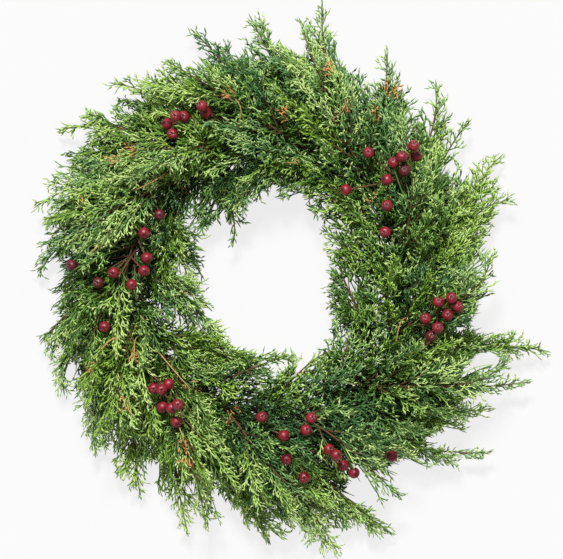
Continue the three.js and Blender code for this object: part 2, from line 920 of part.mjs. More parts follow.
// Bends a stalk from a bud up to a berry that leans away from it, if both have room.
function tryBerry(sprig, bud, centre, tilt) {
  const level = centre.clone().sub(bud.place).setZ(0).normalize();
  const axis = lean(up, level, tilt);
  const foot = centre.clone().addScaledVector(axis, -berryRadius);
  const elbow = foot.clone().addScaledVector(axis, -0.5 * foot.distanceTo(bud.place));
  const middle = new THREE.QuadraticBezierCurve3(bud.place, elbow, foot).getPoint(0.5);
  const face = bud.faceTowards(middle.clone().sub(bud.place).normalize());
  if (face === null) {
    return false;
  }
  const root = sprig.centre(face);
  const stalk = [
    room.rod(sprig.name, root, middle, stalkRadius),
    room.rod(sprig.name, middle, foot, stalkRadius),
  ];
  const berry = room.rod(sprig.name, centre, centre, berryRadius + berryGap / 2);
  if (!room.fits(stalk, bud.neighbours) || !room.fits([berry], [])) {
    return false;
  }
  const along = foot.clone().sub(root).normalize();
  const whole = sprig.attempt(() => {
    const base = sprig.faces[face];
    const halfway = sprig.addRing(middle, along, stalkRadius, sprig.rollFrom(base, middle, along));
    sprig.join(base, halfway, face);
    const end = sprig.addRing(foot, axis, stalkRadius, sprig.rollFrom(halfway, foot, axis));
    sprig.join(halfway, end);
    growBerry(sprig, end, foot, axis);
  });
  if (!whole) {
    return false;
  }
  bud.use(face);
  bud.neighbours = [...bud.neighbours, stalk[0]];
  room.place([...stalk, berry]);
  return true;
}

// How far a berry is from the place that a stalk would lean to from a bud.
function reachOf(bud, centre) {
  const ahead = bud.place.clone().addScaledVector(bud.along, stalkReach);
  return ahead.setZ(0).distanceTo(centre.clone().setZ(0));
}

// Sets a berry on the nearest fork that can carry it.
function setBerry(sprig, place) {
  const centre = new THREE.Vector3(...place);
  const nearest = [...sprig.buds].sort((a, b) => reachOf(a, centre) - reachOf(b, centre));
  if (!nearest.some((bud) => berryTilts.some((tilt) => tryBerry(sprig, bud, centre, tilt)))) {
    throw new Error(`no room for the berry of ${sprig.name} at ${place}`);
  }
}

// ---------------------------------------------------------------------------------------
// The wreath
// ---------------------------------------------------------------------------------------

// Colours of the finished pieces. Neighbouring sprays differ a little, as cut bunches do.
const frameGreen = 0x2f3b2a;
const wireGreen = 0x3d5233;
const foliageGreens = [0x5d7442, 0x6d8650, 0x526a3a];
const berryRed = 0x7e1c22;

const group = new THREE.Group();

function addPiece(name, geometry, color, roughness, metalness) {
  const mesh = new THREE.Mesh(geometry, new THREE.MeshStandardMaterial({ color, roughness, metalness }));
  mesh.name = name;
  group.add(mesh);
}

placeFrameRods();
const bindingWire = growBindingWire();
const sprigs = berrySprigs.map(sprigStem);
const sprays = growSprayStems();
sprigs.forEach((sprig, k) => {
  berrySprigs[k].berries.forEach((berry) => setBerry(sprig, berry));
});
leafSprays(sprays, new Chance(20251));

addPiece("wire_frame", frameGeometry(), frameGreen, 0.5, 0.6);
addPiece("binding_wire", bindingWire.geometry(), wireGreen, 0.5, 0.6);
sprays.forEach((spray, k) => {
  addPiece(spray.name, spray.geometry(), foliageGreens[k % foliageGreens.length], 0.75, 0);
});
sprigs.forEach((sprig) => {
  addPiece(sprig.name, sprig.geometry(), berryRed, 0.3, 0);
});

// The box of the whole wreath stands centred on the origin.
const box = new THREE.Box3().setFromObject(group);
const middle = box.getCenter(new THREE.Vector3());
group.position.set(-middle.x, -middle.y, -box.min.z);

export default group;
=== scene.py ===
"""Dresses the fresh evergreen wreath: feathery sprays, berries, wires, floor, light and camera.

The shape functions work in millimetres about the ring's centre, as the part's own source does.
Meshes are written in metres in the row frame.
"""

import math

import bpy
import numpy as np
from bpy.props import FloatProperty, FloatVectorProperty, IntProperty, PointerProperty
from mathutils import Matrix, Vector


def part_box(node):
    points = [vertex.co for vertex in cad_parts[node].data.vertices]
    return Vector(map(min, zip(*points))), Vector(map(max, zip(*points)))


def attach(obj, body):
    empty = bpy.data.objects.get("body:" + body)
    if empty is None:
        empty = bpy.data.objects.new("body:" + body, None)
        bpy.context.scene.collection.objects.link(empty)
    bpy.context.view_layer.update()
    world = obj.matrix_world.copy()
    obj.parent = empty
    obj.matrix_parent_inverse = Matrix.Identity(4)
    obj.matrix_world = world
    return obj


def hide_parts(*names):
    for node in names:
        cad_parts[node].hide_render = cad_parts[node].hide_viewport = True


bl_info = {
    "name": "Evergreen Wreath",
    "version": (1, 0, 0),
    "blender": (4, 5, 0),
    "location": "3D View > Sidebar > Wreath",
    "description": "Feathery juniper sprays, red berries and wires on the packed wreath",
    "category": "Add Mesh",
}

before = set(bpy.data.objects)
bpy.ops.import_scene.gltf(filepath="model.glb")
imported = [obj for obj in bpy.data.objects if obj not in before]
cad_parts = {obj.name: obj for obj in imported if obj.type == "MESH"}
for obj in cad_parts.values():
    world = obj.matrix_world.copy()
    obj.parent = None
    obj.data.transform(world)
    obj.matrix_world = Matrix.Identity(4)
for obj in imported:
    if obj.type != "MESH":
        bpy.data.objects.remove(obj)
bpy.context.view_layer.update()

MM = 0.001
WIRE_LOW, WIRE_HIGH = (np.array(corner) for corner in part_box("wire_frame"))
RING_CENTRE = np.append(((WIRE_LOW + WIRE_HIGH) / 2)[:2], 0.0)

# ---- The wreath's layout, the same named values as in the part's source ----

ROD_SIZE = 2.6
LOW_RAIL_RADII = (128, 172)
MID_RAIL_RADII = (143, 157)
WELD_SINK = 0.2
BAR_BOTTOM = ROD_SIZE - WELD_SINK
MID_RAIL_BOTTOM = BAR_BOTTOM + ROD_SIZE - WELD_SINK
MID_RAIL_TOP = MID_RAIL_BOTTOM + ROD_SIZE
BAR_COUNT = 6
BAR_FIRST_ANGLE = 7.5

TURN_STEP = 15
TURN_COUNT = 24
TOUCH_GAP = 0.3

BUTT_RADIUS = 2.6
BUTT_BEFORE = 13
BUTT_AFTER = 5
BUTT_HEIGHT = MID_RAIL_TOP + TOUCH_GAP + BUTT_RADIUS / 2
OUTER_SLOT = 157
INNER_SLOT = 143
SPRIG_SLOT = 150
SPRIG_BUTT_RADIUS = 2.2
SPRIG_BUTT_BEFORE = 24
SPRIG_BUTT_HEIGHT = BAR_BOTTOM + ROD_SIZE + TOUCH_GAP + SPRIG_BUTT_RADIUS / 2

WIRE_RADIUS = 0.8
WIRE_GAP = 0.4
WIRE_SLACK = 0.4
WIRE_SHOULDER = 1.2
WIRE_DRIFT = 3
WIRE_DIP_HEIGHT = 1.4
WIRE_DIP_HALF_LENGTH = 3.2

# Rise in degrees, the length that it is held for, the lift over the crest, the length of the
# straight arrival at the tip, how fresh the tip is, and the boughs' share of their full length.
OUTER_HABIT = {"rise": 22, "leave": 52, "lift": 6, "arrive": 62, "fresh": 0.7, "boughs": 1}
TOP_HABIT = {"rise": 46, "leave": 62, "lift": 16, "arrive": 70, "fresh": 0.55, "boughs": 1}
INNER_HABIT = {"rise": 32, "leave": 40, "lift": 6, "arrive": 40, "fresh": 0.55, "boughs": 0.7}
SPRIG_HABIT = {"rise": 40, "leave": 46, "lift": 3, "arrive": 44}

# Tip angle, tip radius, direction at the tip, tip height and crest height. The fine sprays
# 20 and 21 turn a little further than the source's, as the picture's do.
OUTER_SPRAYS = (
    (17.5, 282, 340, 24, 22), (28.7, 291, 40, 14, 36), (38.9, 283, 45, 26, 22),
    (50.9, 285, 100, 16, 34), (63.7, 286, 92, 28, 22), (79.7, 311, 88, 14, 34),
    (94.9, 294, 120, 26, 22), (107.9, 291, 140, 14, 34), (129.5, 281, 175, 26, 22),
    (145.4, 286, 205, 14, 34), (163.2, 272, 220, 26, 22), (179.5, 256, 250, 14, 34),
    (194.9, 263, 225, 28, 22), (209.3, 259, 280, 14, 34), (225.5, 270, 290, 26, 22),
    (239, 276, 285, 14, 34), (252, 292, 286, 26, 22), (270, 288, 299, 14, 34),
    (284, 312, 295, 28, 22), (296, 310, 327, 14, 34), (322.6, 307, 8, 26, 22),
    (330.4, 281, 10, 12, 34), (339, 305, 12, 30, 22), (345.7, 317, 345, 14, 34),
)
OUTER_FIRST_TURN = -30

TOP_SPRAYS = (
    (55, 225, 130, 66, 84), (84, 290, 105, 46, 80), (115.6, 267, 150, 50, 84),
    (140, 215, 190, 68, 82), (172, 225, 235, 62, 84), (205, 220, 265, 66, 85),
    (228, 235, 290, 60, 84), (256, 280, 285, 46, 80), (280, 240, 330, 64, 84),
    (301, 278, 315, 48, 80), (343, 273, 60, 46, 84), (367, 242, 80, 62, 80),
)

INNER_SPRAYS = (
    (47.8, 81, 135, 30, 42), (24.8, 78, 95, 30, 42), (335, 105, 60, 40, 50),
    (310, 100, 20, 30, 42), (285, 84, 10, 40, 50), (250, 85, 340, 30, 42),
    (208, 72, 310, 40, 50), (186, 88, 280, 30, 42), (137, 58, 250, 26, 42),
    (120, 95, 205, 44, 54), (100, 105, 185, 32, 46), (72, 105, 160, 42, 52),
)
INNER_TURNS = (-15, 315, 285, 255, 225, 195, 165, 135, 105, 75, 45, 15)

# Turn, end of the stalk, share of the first fork, and the berries' centres.
BERRY_SPRIGS = (
    (75, (-84, 170, 58), 0.66, (
        (-71, 183, 75), (-75, 190, 87), (-95, 179, 71), (-103.5, 179, 91.5),
        (-107, 160, 77.5), (-113, 171, 70),
    )),
    (135, (-158, -8, 48), 0.22, (
        (-121, 72, 80), (-138, 52, 80), (-135, 25, 80), (-138, 11, 80), (-171, 9, 80),
        (-151.5, -4, 80), (-187.5, -2, 80), (-217, 17, 62), (-181, -50, 80),
    )),
    (195, (-116, -116, 58), 0.5, (
        (-127.5, -117, 80), (-119, -118, 90.5), (-111, -112, 80), (-118, -137, 80),
        (-108, -138, 89), (-101, -134, 101), (-102.5, -153, 80),
    )),
    (255, (90, -186, 56), 0.14, (
        (-10, -148, 80), (14, -168, 80), (44, -149, 80), (38, -162, 80), (17, -194, 76),
        (36, -214, 62.5), (63, -183, 76.5), (71, -189, 87), (78.5, -201, 63),
        (90.5, -209, 56), (132, -191, 53.5),
    )),
    (315, (184, -44, 58), 0.55, (
        (174, -60, 80), (181, -51, 87.5), (168, -41, 80), (192, -37, 75.5), (203, -28, 79),
        (182, -23, 80), (196, -18.5, 85.5),
    )),
    (15, (134, 118, 58), 0.22, (
        (124, 53, 80), (126, 82, 80), (81, 99, 80), (126, 110, 80), (145, 120, 80),
        (133, 129, 80), (106, 139.5, 80), (142, 135, 88.5), (158, 136, 67.5),
        (155, 147, 84),
    )),
)
# The last fork's share of the stalk, and how far ahead of its fork a berry is looked for.
LAST_FORK = 0.9
FORK_AHEAD = 14

# The crowded foliage ends this far inside the line through the outer sprays' tips, where
# the tips stand freest and where they stand closest, and at the oval hole's edge.
FREE_TIPS = 50
CLOSE_TIPS = 18
FREE_TIPS_ANGLE = 10
HOLE_HALF_WIDTH = 72
HOLE_HALF_HEIGHT = 98

# Where the photograph was taken from: the picture's size and scale, and the ring's place.
PICTURE_WIDTH_PX = 563
PICTURE_HEIGHT_PX = 559
MM_PER_PX = 1.09
RING_PX = (271, 281)
SCALE_HEIGHT = 50

# The places in the tables below were read from the picture, in its pixels.

# Where shoots have turned rusty.
RUST_SPOTS_PX = (
    (232, 97), (85, 200), (375, 120), (215, 308), (90, 365), (117, 156), (190, 172),
    (187, 190), (135, 149), (129, 400), (132, 352), (190, 387), (182, 439), (232, 414),
    (190, 460), (285, 118), (330, 72), (349, 112), (391, 95), (372, 200), (395, 202),
)
RUST_REACH = 6.0

# How far twigs and boughs over a berry keep from its middle, seen from above.
BERRY_ROOM = 8.5
BOUGH_ROOM = 6.0

# Where the bare floor shows between the plumes: x and y in turn, by reach.
CLEARINGS_PX = {
    3: (186, 299),
    4: (108, 115, 86, 133, 431, 112, 283, 344, 206, 284, 322, 238, 131, 98, 127, 110, 50, 330,
        182, 272, 487, 246, 178, 470, 214, 494, 266, 50),
    5: (379, 74, 74, 147, 467, 172, 430, 129, 478, 266, 395, 524, 212, 207, 296, 196, 303, 368,
        269, 345, 187, 489, 354, 304, 63, 163, 53, 263, 224, 322, 222, 216, 234, 514, 275, 36,
        360, 68),
    6: (300, 48, 176, 55, 451, 149, 494, 360, 468, 370, 54, 298, 55, 318, 214, 298, 244, 238,
        235, 333, 212, 312, 500, 278),
    7: (238, 50, 485, 303, 372, 501, 386, 515, 70, 372, 209, 272, 317, 343, 256, 346, 322, 318,
        350, 286),
    8: (196, 57, 450, 168, 436, 441, 470, 441, 222, 506),
    9: (508, 325, 482, 360, 425, 474, 152, 472, 53, 276, 243, 341),
    11: (292, 38, 345, 54, 452, 437),
    14: (405, 473, 360, 491),
    16: (488, 320),
}

# The plumes that side boughs of a spray end in: x and y in turn, by spray. The boughs leave
# from a range of the stem's points, at an angle in degrees, and bow by a share of their reach.
OUTER_PLUMES_PX = {
    1: (499, 212, 492, 230, 484, 222, 485, 238, 478, 208, 496, 216, 488, 262, 480, 298, 492, 226),
    2: (479, 162, 490, 172, 496, 186, 494, 205, 486, 188, 484, 172, 498, 178, 499, 194, 480, 168,
        500, 186, 500, 202),
    3: (420, 108, 414, 116, 418, 128, 456, 132),
    4: (446, 98, 451, 112, 448, 130, 440, 170, 443, 150, 447, 106, 452, 128),
    5: (398, 76, 403, 90, 409, 100, 416, 122, 393, 66, 374, 92, 364, 84, 397, 84, 409, 88,
        415, 100, 421, 112, 422, 126),
    6: (308, 21, 328, 30, 307, 26),
    7: (264, 16, 250, 48, 258, 16, 266, 26),
    8: (214, 42, 228, 40, 208, 45),
    10: (84, 107, 96, 112, 114, 106, 82, 114, 88, 109, 84, 138, 86, 112),
    11: (46, 180, 56, 172, 70, 168, 80, 156, 50, 224, 70, 156, 50, 188, 78, 144),
    12: (37, 242, 38, 266, 50, 238, 40, 254, 44, 244, 46, 198, 37, 260),
    13: (46, 352, 44, 338, 50, 362, 46, 345),
    14: (50, 374, 54, 362, 60, 392, 52, 384, 56, 378),
    15: (76, 410, 82, 424, 85, 434, 96, 444, 107, 452, 82, 418, 92, 438, 76, 404, 98, 450,
        106, 448),
    16: (112, 466, 120, 474, 130, 486, 136, 470, 124, 466, 117, 478, 116, 474, 138, 464, 122, 476,
        130, 484, 142, 470),
    17: (164, 482, 176, 508, 194, 494, 206, 520, 178, 514),
    18: (288, 534, 266, 522, 256, 512, 276, 520, 292, 522, 234, 506, 244, 522, 264, 532, 287, 538,
        266, 536),
    19: (322, 551, 306, 534, 312, 542, 300, 522, 330, 546, 316, 536, 308, 524, 296, 516, 310, 546,
        324, 554),
    20: (372, 532, 354, 522, 364, 520, 384, 537, 344, 510, 360, 528, 378, 534, 368, 512, 352, 516,
        358, 526, 370, 535, 374, 536, 362, 518),
    21: (456, 466, 484, 461, 442, 456, 424, 456, 402, 454, 452, 452, 470, 458, 404, 458, 446, 460,
        460, 467, 412, 458, 436, 460),
    22: (478, 418, 462, 420, 436, 432, 470, 418, 444, 430),
    23: (514, 391, 490, 394, 476, 386, 500, 388, 486, 378, 510, 358, 504, 384, 478, 398),
    24: (515, 338, 500, 346, 534, 350, 510, 345, 470, 330),
}
INNER_PLUMES_PX = {
    1: (314, 206),
    2: (334, 228, 350, 258, 331, 268, 330, 292, 332, 316, 333, 280, 331, 304, 330, 270, 331, 296,
        332, 322, 337, 258, 326, 290, 326, 304, 329, 284, 330, 308, 336, 230),
    6: (270, 376, 256, 382, 302, 358, 266, 384, 248, 384),
    7: (214, 336, 226, 348, 186, 326, 172, 316, 232, 362, 196, 330, 164, 312, 176, 322, 170, 324),
    8: (202, 248, 200, 268, 192, 318, 203, 236, 198, 238, 192, 264, 198, 276),
    9: (244, 208, 214, 196, 206, 206, 190, 214, 196, 238, 200, 196, 198, 214, 208, 216, 192, 200,
        188, 226, 192, 222, 198, 230, 233, 228, 232, 222),
    10: (199, 232, 212, 224, 196, 216, 204, 214, 206, 228),
    11: (206, 194, 278, 187, 274, 188),
    12: (282, 190),
}
PLUME_FIRST, PLUME_LAST = 4, 34
PLUME_ANGLE = 20
PLUME_HEIGHT = 24
PLUME_BOW = 0.45
PLUME_TONE_GAIN = 0.3

# Hollows where the upper foliage is missing and the stalks show: x and y in turn, by reach.
HOLLOWS_PX = {
    6: (166, 396),
    7: (128, 272, 404, 184, 168, 212, 318, 436),
    8: (134, 249, 437, 331),
    9: (398, 167, 332, 446),
    12: (121, 257),
}
HOLLOW_HEIGHT = 48

# Berries that lie deeper and get painted shade all over, and how much darker they are.
SHADED_BERRIES_PX = ((160, 215), (71, 266), (404, 171), (98, 283), (430, 333))
DIM_REACH = 4
BERRY_SHADE_SHARE = 0.7

# Bare twigs that lie over the top sprays: spray, where the twig comes up and where it ends,
# and its height in millimetres.
BARE_TWIGS_PX = (
    (5, 168, 176, 134, 191, 93), (6, 106, 238, 86, 258, 92),
    (6, 106, 338, 96, 364, 92), (7, 133, 338, 136, 364, 92), (7, 180, 377, 194, 392, 88),
    (8, 180, 425, 186, 446, 92), (4, 318, 168, 290, 158, 93), (12, 398, 318, 396, 344, 92),
    (4, 250, 114, 234, 98, 93), (3, 350, 114, 344, 98, 92),
)
BARE_DROP = 14

# How many points a path has, and how many sides its skin.
STEM_POINTS = 41
BOUGH_POINTS = 13
TWIG_POINTS = 6
STALK_POINTS = 9
STEM_SIDES, STALK_SIDES, BOUGH_SIDES, TWIG_SIDES = 8, 6, 5, 3

# How limbs grow from their parents: from and to which share of it, their angles to it at root
# and tip, the scatter of their tilt and roll in degrees, and more where it differs.
FULL_ROUND = (0, 8, 70, -8, 40, -50)
BOUGHS = dict(first=0.03, last=0.74, spread=34, forward=12, lift=12, roll=14,
              points=BOUGH_POINTS, tone_gain=0.2, bark_share=0.9, tone_spread=0.17,
              ranks=(5, 38, -18, 18), margin=0, droop=0.22, fresh_share=0.1, cool_spread=0.45)
UNDER_BOUGHS = dict(spacing=8.5, first=0.0, last=0.6, spread=34, forward=12, lift=10, roll=20,
                    points=BOUGH_POINTS, bark_share=0.55, ranks=(-28, -62, -12), margin=-16,
                    droop=0.3, cool_spread=0.3)
TWIGS = dict(first=0.06, last=0.96, spread=38, forward=18, lift=14, roll=22,
             points=TWIG_POINTS, tone_gain=0.2, bark_share=0.5, ranks=FULL_ROUND,
             tone_spread=0.13, fresh_share=0.1)
STEM_TWIGS = TWIGS | dict(first=0.04, last=0.955, spread=40, lift=12, bark_share=0.55)
LOW_TWIGS = dict(spacing=7.0, first=0.06, last=0.98, spread=44, forward=24, lift=20, roll=40,
                 points=5, ranks=(0, 20, -20), margin=2)
SHOOTS = dict(first=0.12, last=0.98, spread=38, forward=24, lift=10, roll=18, tone_gain=0.2,
              ranks=(0, 0, 45), tone_spread=0.08)
BOUGH_END = dict(first=0.7, last=1.0, spread=36, forward=22, lift=50, roll=40, tone_gain=0.16)
STEM_END = BOUGH_END | dict(first=0.85, last=0.975, spread=30, forward=14)
LOW_SHOOTS = dict(spacing=5.6, first=0.1, last=0.98, spread=40, forward=26, lift=30, roll=60)
LEAVES = dict(first=0.25, last=1.05, spread=40, forward=24, lift=12, roll=30, ranks=(0, 30))
TWIG_LEAVES = dict(first=0.7, last=1.0, spread=34, forward=20, lift=25, roll=40)
LOW_LEAVES = dict(spacing=4.4, first=0.2, last=1.05, spread=38, forward=24, lift=30, roll=60)

# How far crowded twigs keep inside the ring's edges, and the lengths that are tried for room.
CROWDED_MARGIN = 6
ROOM_STEPS = np.arange(20.0, 150.0, 10.0)

# How long limbs grow, by the parameters of limb_length.
BOUGH_LENGTH = dict(least=30, gain=0.7, fall=0.5)
TWIG_LENGTH = dict(least=6, gain=0.27)
SHOOT_LENGTH = dict(least=5, gain=0.5)
LEAF_LENGTH = dict(fall=0.2)

# The scatter of limbs: of their step, their angles in degrees and their length. Then the
# brightness of fresh ones, and the distance between the seeds of the groups of sprays.
STEP_SCATTER = 0.35
TURN_SCATTER = 7
LENGTH_RANGE = (0.75, 1.2)
FRESH_GAIN = 0.4
SEEDS_APART = 100

# How thick limbs are: radii, a bough's gain with its length, shares of them along the way
# and, for the leaves, shares of the setting's width.
STEM_TIP_RADIUS, STEM_TAPER = 0.7, 0.3
SPRIG_TIP_RADIUS, SPRIG_TAPER = 1.0, 0.7
BARE_RADII = np.linspace(0.9, 0.45, BOUGH_POINTS - 1)
BOUGH_RADIUS, BOUGH_GAIN = 0.6, 0.004
BOUGH_TAPER = np.linspace(1, 0.6, BOUGH_POINTS - 1)
TWIG_RADII = 0.85 * np.linspace(1, 0.8, TWIG_POINTS - 1)
LOW_TWIG_RADIUS = 1.0
SHOOT_RADIUS = 0.8
LEAF_WIDTHS = (0.8, 1.25)
LOW_LEAF_WIDTH = 1.3

# How light or dark limbs are: the stem's cut end and the scatter between sprays, then painted
# shade on the boughs, under-boughs and twigs that lie deep, and painted light and shade by
# height: foliage above the middle height is made lighter, foliage below it darker.
STEM_TONE = 0.1
SHADE_SPREAD = 0.09
STEM_BARK = (0.85, 0.4)
PLUME_BARK = (0.7, 0.1)
PAINTED_SHADE_BOUGHS = 0.15
PAINTED_SHADE_UNDER_BOUGHS = 0.12
PAINTED_SHADE_TWIGS = (0.2, 0.06)
PAINTED_LIGHT_HEIGHT = 45
PAINTED_LIGHT_BY_HEIGHT = 0.16


def from_picture(places):
    """Millimetres about the ring's centre of picture places: s (x - a), s (b - y)."""
    return (np.array(places, float).reshape(-1, 2) - RING_PX) * (MM_PER_PX, -MM_PER_PX)


def spots_from_picture(groups):
    """The middles and the reaches of picture places that are grouped by reach."""
    middles = [from_picture(places) for places in groups.values()]
    reaches = np.array([*groups]) * MM_PER_PX
    return np.concatenate(middles), np.repeat(reaches, [len(group) for group in middles])


BERRY_CENTRES = np.array([centre for sprig in BERRY_SPRIGS for centre in sprig[3]], float)
RUST_SPOTS = from_picture(RUST_SPOTS_PX)
SHADED_BERRIES = from_picture(SHADED_BERRIES_PX)
CLEARINGS, CLEARING_REACHES = spots_from_picture(CLEARINGS_PX)
HOLLOWS, HOLLOW_REACHES = spots_from_picture(HOLLOWS_PX)

# ---- Settings ----


def srgb(red, green, blue):
    """The linear colour of an 8-bit screen colour: ((c / 255 + 0.055) / 1.055) ** 2.4."""
    screen = np.array((red, green, blue)) / 255
    linear = np.where(screen <= 0.04045, screen / 12.92, ((screen + 0.055) / 1.055) ** 2.4)
    return tuple(float(x) for x in linear)


def distance(name, description, size, least):
    """A length setting, given in millimetres."""
    return FloatProperty(name=name, description=description, default=size * MM,
                         min=least * MM, unit="LENGTH")


def paint(name, description, *screen):
    """A colour setting, given as an 8-bit screen colour."""
    return FloatVectorProperty(name=name, description=description, default=srgb(*screen),
                               subtype="COLOR", size=3, min=0, max=1)


def strength(name, description, amount):
    """A setting for a plain amount."""
    return FloatProperty(name=name, description=description, default=amount, min=0)


class FoliageSettings(bpy.types.PropertyGroup):
    """Sizes and colours of the juniper sprays"""

    seed: IntProperty(
        name="Seed", description="Repeats the same chance growth", default=20251, min=0)
    bough_spacing: distance(
        "Bough spacing", "Distance between side boughs along a stem", 10.5, 5)
    longest_bough: distance(
        "Longest bough", "Length of the side boughs nearest the binding", 125, 20)
    twig_spacing: distance(
        "Twig spacing", "Distance between twigs along a stem or bough", 5.4, 2)
    longest_twig: distance("Longest twig", "Length of the twigs far from any tip", 28, 8)
    shoot_spacing: distance("Shoot spacing", "Distance between shoots along a twig", 6.0, 1.5)
    longest_shoot: distance(
        "Longest shoot", "Length of the shoots near a twig's root", 13.5, 3)
    prong_spacing: distance(
        "Leaf spacing", "Distance between leaf prongs along a shoot", 4.4, 1)
    prong_length: distance("Leaf length", "Length of one leaf prong", 8.6, 1)
    prong_width: distance("Leaf width", "Width of one leaf prong at its middle", 2.5, 0.2)
    # The tone that picks these greens also carries painted shade on low and inner limbs, towards
    # the deep greens, and painted light on high foliage, towards the tip greens.
    deep_green: paint("Deep green", "Old leaves near the stems", 34, 56, 10)
    middle_green: paint("Middle green", "Grown leaves", 96, 134, 36)
    tip_green: paint("Tip green", "Leaf tips", 156, 190, 84)
    fresh_green: paint("Fresh green", "New growth", 184, 208, 126)
    deep_blue_green: paint("Deep blue-green", "Old leaves of the bluer boughs", 32, 54, 22)
    middle_blue_green: paint(
        "Middle blue-green", "Grown leaves of the bluer boughs", 70, 114, 64)
    tip_blue_green: paint("Blue-green tip", "Leaf tips of the bluer boughs", 134, 170, 108)
    stem_brown: paint("Stem brown", "Bark of the stems and boughs", 98, 72, 48)
    bare_tan: paint("Bare tan", "Bark of the bare twigs", 196, 152, 98)
    rust: paint("Rust", "The few shoots that have turned", 200, 144, 86)


class BerrySettings(bpy.types.PropertyGroup):
    """Sizes and colours of the berry sprigs"""

    berry_diameter: distance("Berry diameter", "Diameter of one berry", 12.5, 2)
    stalk_diameter: distance(
        "Stalk diameter", "Diameter of a berry's own stalk", 1.7, 0.4)
    berry_red: paint("Berry red", "Skin of the berries", 142, 19, 38)
    # This colour also gives the painted shade of the berries that lie deeper.
    calyx_dark: paint("Calyx", "The dark dimple at a berry's end", 58, 12, 16)
    stalk_brown: paint("Stalk", "Stalks of the berries", 118, 80, 58)


class WireSettings(bpy.types.PropertyGroup):
    """Sizes and colours of the wires"""

    rod_diameter: distance(
        "Frame wire", "Diameter of the frame's welded wire", ROD_SIZE, 1)
    wire_diameter: distance(
        "Binding wire", "Diameter of the florist's wire", 2 * WIRE_RADIUS, 0.3)
    frame_green: paint("Frame paint", "Dark green paint of the frame", 47, 59, 42)
    wire_green: paint("Wire paint", "Green lacquer of the binding wire", 61, 82, 51)


class StageSettings(bpy.types.PropertyGroup):
    """Floor, light and camera"""

    camera_height: distance("Camera height", "Height of the camera over the floor", 9000, 1000)
    floor_size: distance("Floor size", "Side of the square floor", 60000, 1000)
    floor_colour: FloatVectorProperty(
        name="Floor", description="Pale matt floor", subtype="COLOR",
        size=3, min=0, max=1, default=(0.1, 0.1, 0.1))
    floor_glow: strength(
        "Floor glow", "Light of the floor's own, which softens shadows", 0.805)
    key_power: strength(
        "Key light", "Strength of the soft light from the picture's top", 4.65)
    sky_strength: strength("Sky", "Strength of the even light from all round", 0.39)


# ---- Directions ----

UP = np.array((0.0, 0.0, 1.0))


def unit(vectors):
    """v / |v| for every vector."""
    return vectors / np.maximum(np.linalg.norm(vectors, axis=-1, keepdims=True), 1e-12)


def polar(angle, radius, height):
    """(r cos a, r sin a, h), with the angle in degrees. Arrays give one point each."""
    turn = np.radians(angle)
    parts = np.broadcast_arrays(radius * np.cos(turn), radius * np.sin(turn), height)
    return np.stack(parts, -1).astype(float)


def heading(angle, rise=0.0):
    """The unit vector (cos a cos e, sin a cos e, sin e) of a compass angle and a rise."""
    lift = np.radians(rise)
    return polar(angle, np.cos(lift), np.sin(lift))


def square_to(along, over):
    """The directions to the side and upwards, square to directions and near an upper side."""
    side = unit(np.cross(over, along))
    return side, np.cross(along, side)


# ---- Limbs: stems, twigs, shoots and prongs, each a family of paths ----


def between(ends, share):
    """a + (b - a) s, where a and b are the last axis of the ends."""
    return ends[..., 0] + (ends[..., 1] - ends[..., 0]) * share


def along_path(path, limb, share):
    """Point and direction at a share of some limbs: straight between path points."""
    place = np.clip(share, 0, 1) * (path.shape[1] - 1)
    low = np.minimum(place.astype(int), path.shape[1] - 2)
    start, end = path[limb, low], path[limb, low + 1]
    return start + (end - start) * (place - low)[:, None], unit(end - start)


class Limbs:
    """A family of paths with n points each. over is each limb's upper side; tone runs from
    old growth (0) to new growth (1), lowered by painted shade on limbs that lie deep or low and
    raised by painted light on high ones; bark from leaf (0) to wood (1), each at root and tip;
    rust is 1 where the limb has turned; cool runs from yellow-green (0) to blue-green (1)."""

    def __init__(self, path, over, tone, bark, rust, cool):
        self.path, self.over, self.tone, self.bark = path, over, tone, bark
        self.rust, self.cool = rust, cool
        self.length = np.linalg.norm(np.diff(path, axis=1), axis=2).sum(1)

    def parts(self):
        """All that the limbs carry."""
        return self.path, self.over, self.tone, self.bark, self.rust, self.cool

    def only(self, chosen):
        """The chosen limbs alone."""
        return Limbs(*(part[chosen] for part in self.parts()))


def together(*families):
    """One family of several that have as many points each."""
    return Limbs(*(np.concatenate(part) for part in zip(*(f.parts() for f in families))))


def gaps_to(points, spots):
    """The distances from points to spots, seen from above."""
    gaps = points[..., None, :2] - spots[:, :2]
    return np.hypot(gaps[..., 0], gaps[..., 1])


def beyond_edges(points, margin):
    """How far points lie outside the wreath's crowded ring, in millimetres.

    Outside it ends at T(a) - m - d cos(a - f), where T(a) runs straight from one outer tip's
    radius to the next and m, d are half the sum and difference of the free and close tips.
    Inside it ends at the oval 1 / sqrt((cos a / w)^2 + (sin a / h)^2). A clearing of reach c
    counts as outside too, to c less the distance from its middle.
    """
    radius = np.hypot(points[..., 0], points[..., 1])
    turn = np.arctan2(points[..., 1], points[..., 0])
    angles, tips = np.array([row[:2] for row in OUTER_SPRAYS]).T
    middle, swing = (FREE_TIPS + CLOSE_TIPS) / 2, (FREE_TIPS - CLOSE_TIPS) / 2
    overhang = middle + swing * np.cos(turn - math.radians(FREE_TIPS_ANGLE))
    outer = np.interp(np.degrees(turn) % 360, angles, tips, period=360) - overhang + margin
    oval = np.hypot(np.cos(turn) / HOLE_HALF_WIDTH, np.sin(turn) / HOLE_HALF_HEIGHT)
    beyond = np.maximum(radius - outer, 1 / oval - margin - radius)
    return np.maximum(beyond, (CLEARING_REACHES - gaps_to(points, CLEARINGS)).max(-1))


def near_spots(points, spots, reach):
    """Which points lie within a reach of any spot, seen from above."""
    return (gaps_to(points, spots) < reach).any(-1)


def over_berries(points, room):
    """Which points lie over or beside a berry, with less than the room between."""
    above = points[..., None, 2] - BERRY_CENTRES[:, 2] > -room
    return ((gaps_to(points, BERRY_CENTRES) < room) & above).any(-1)


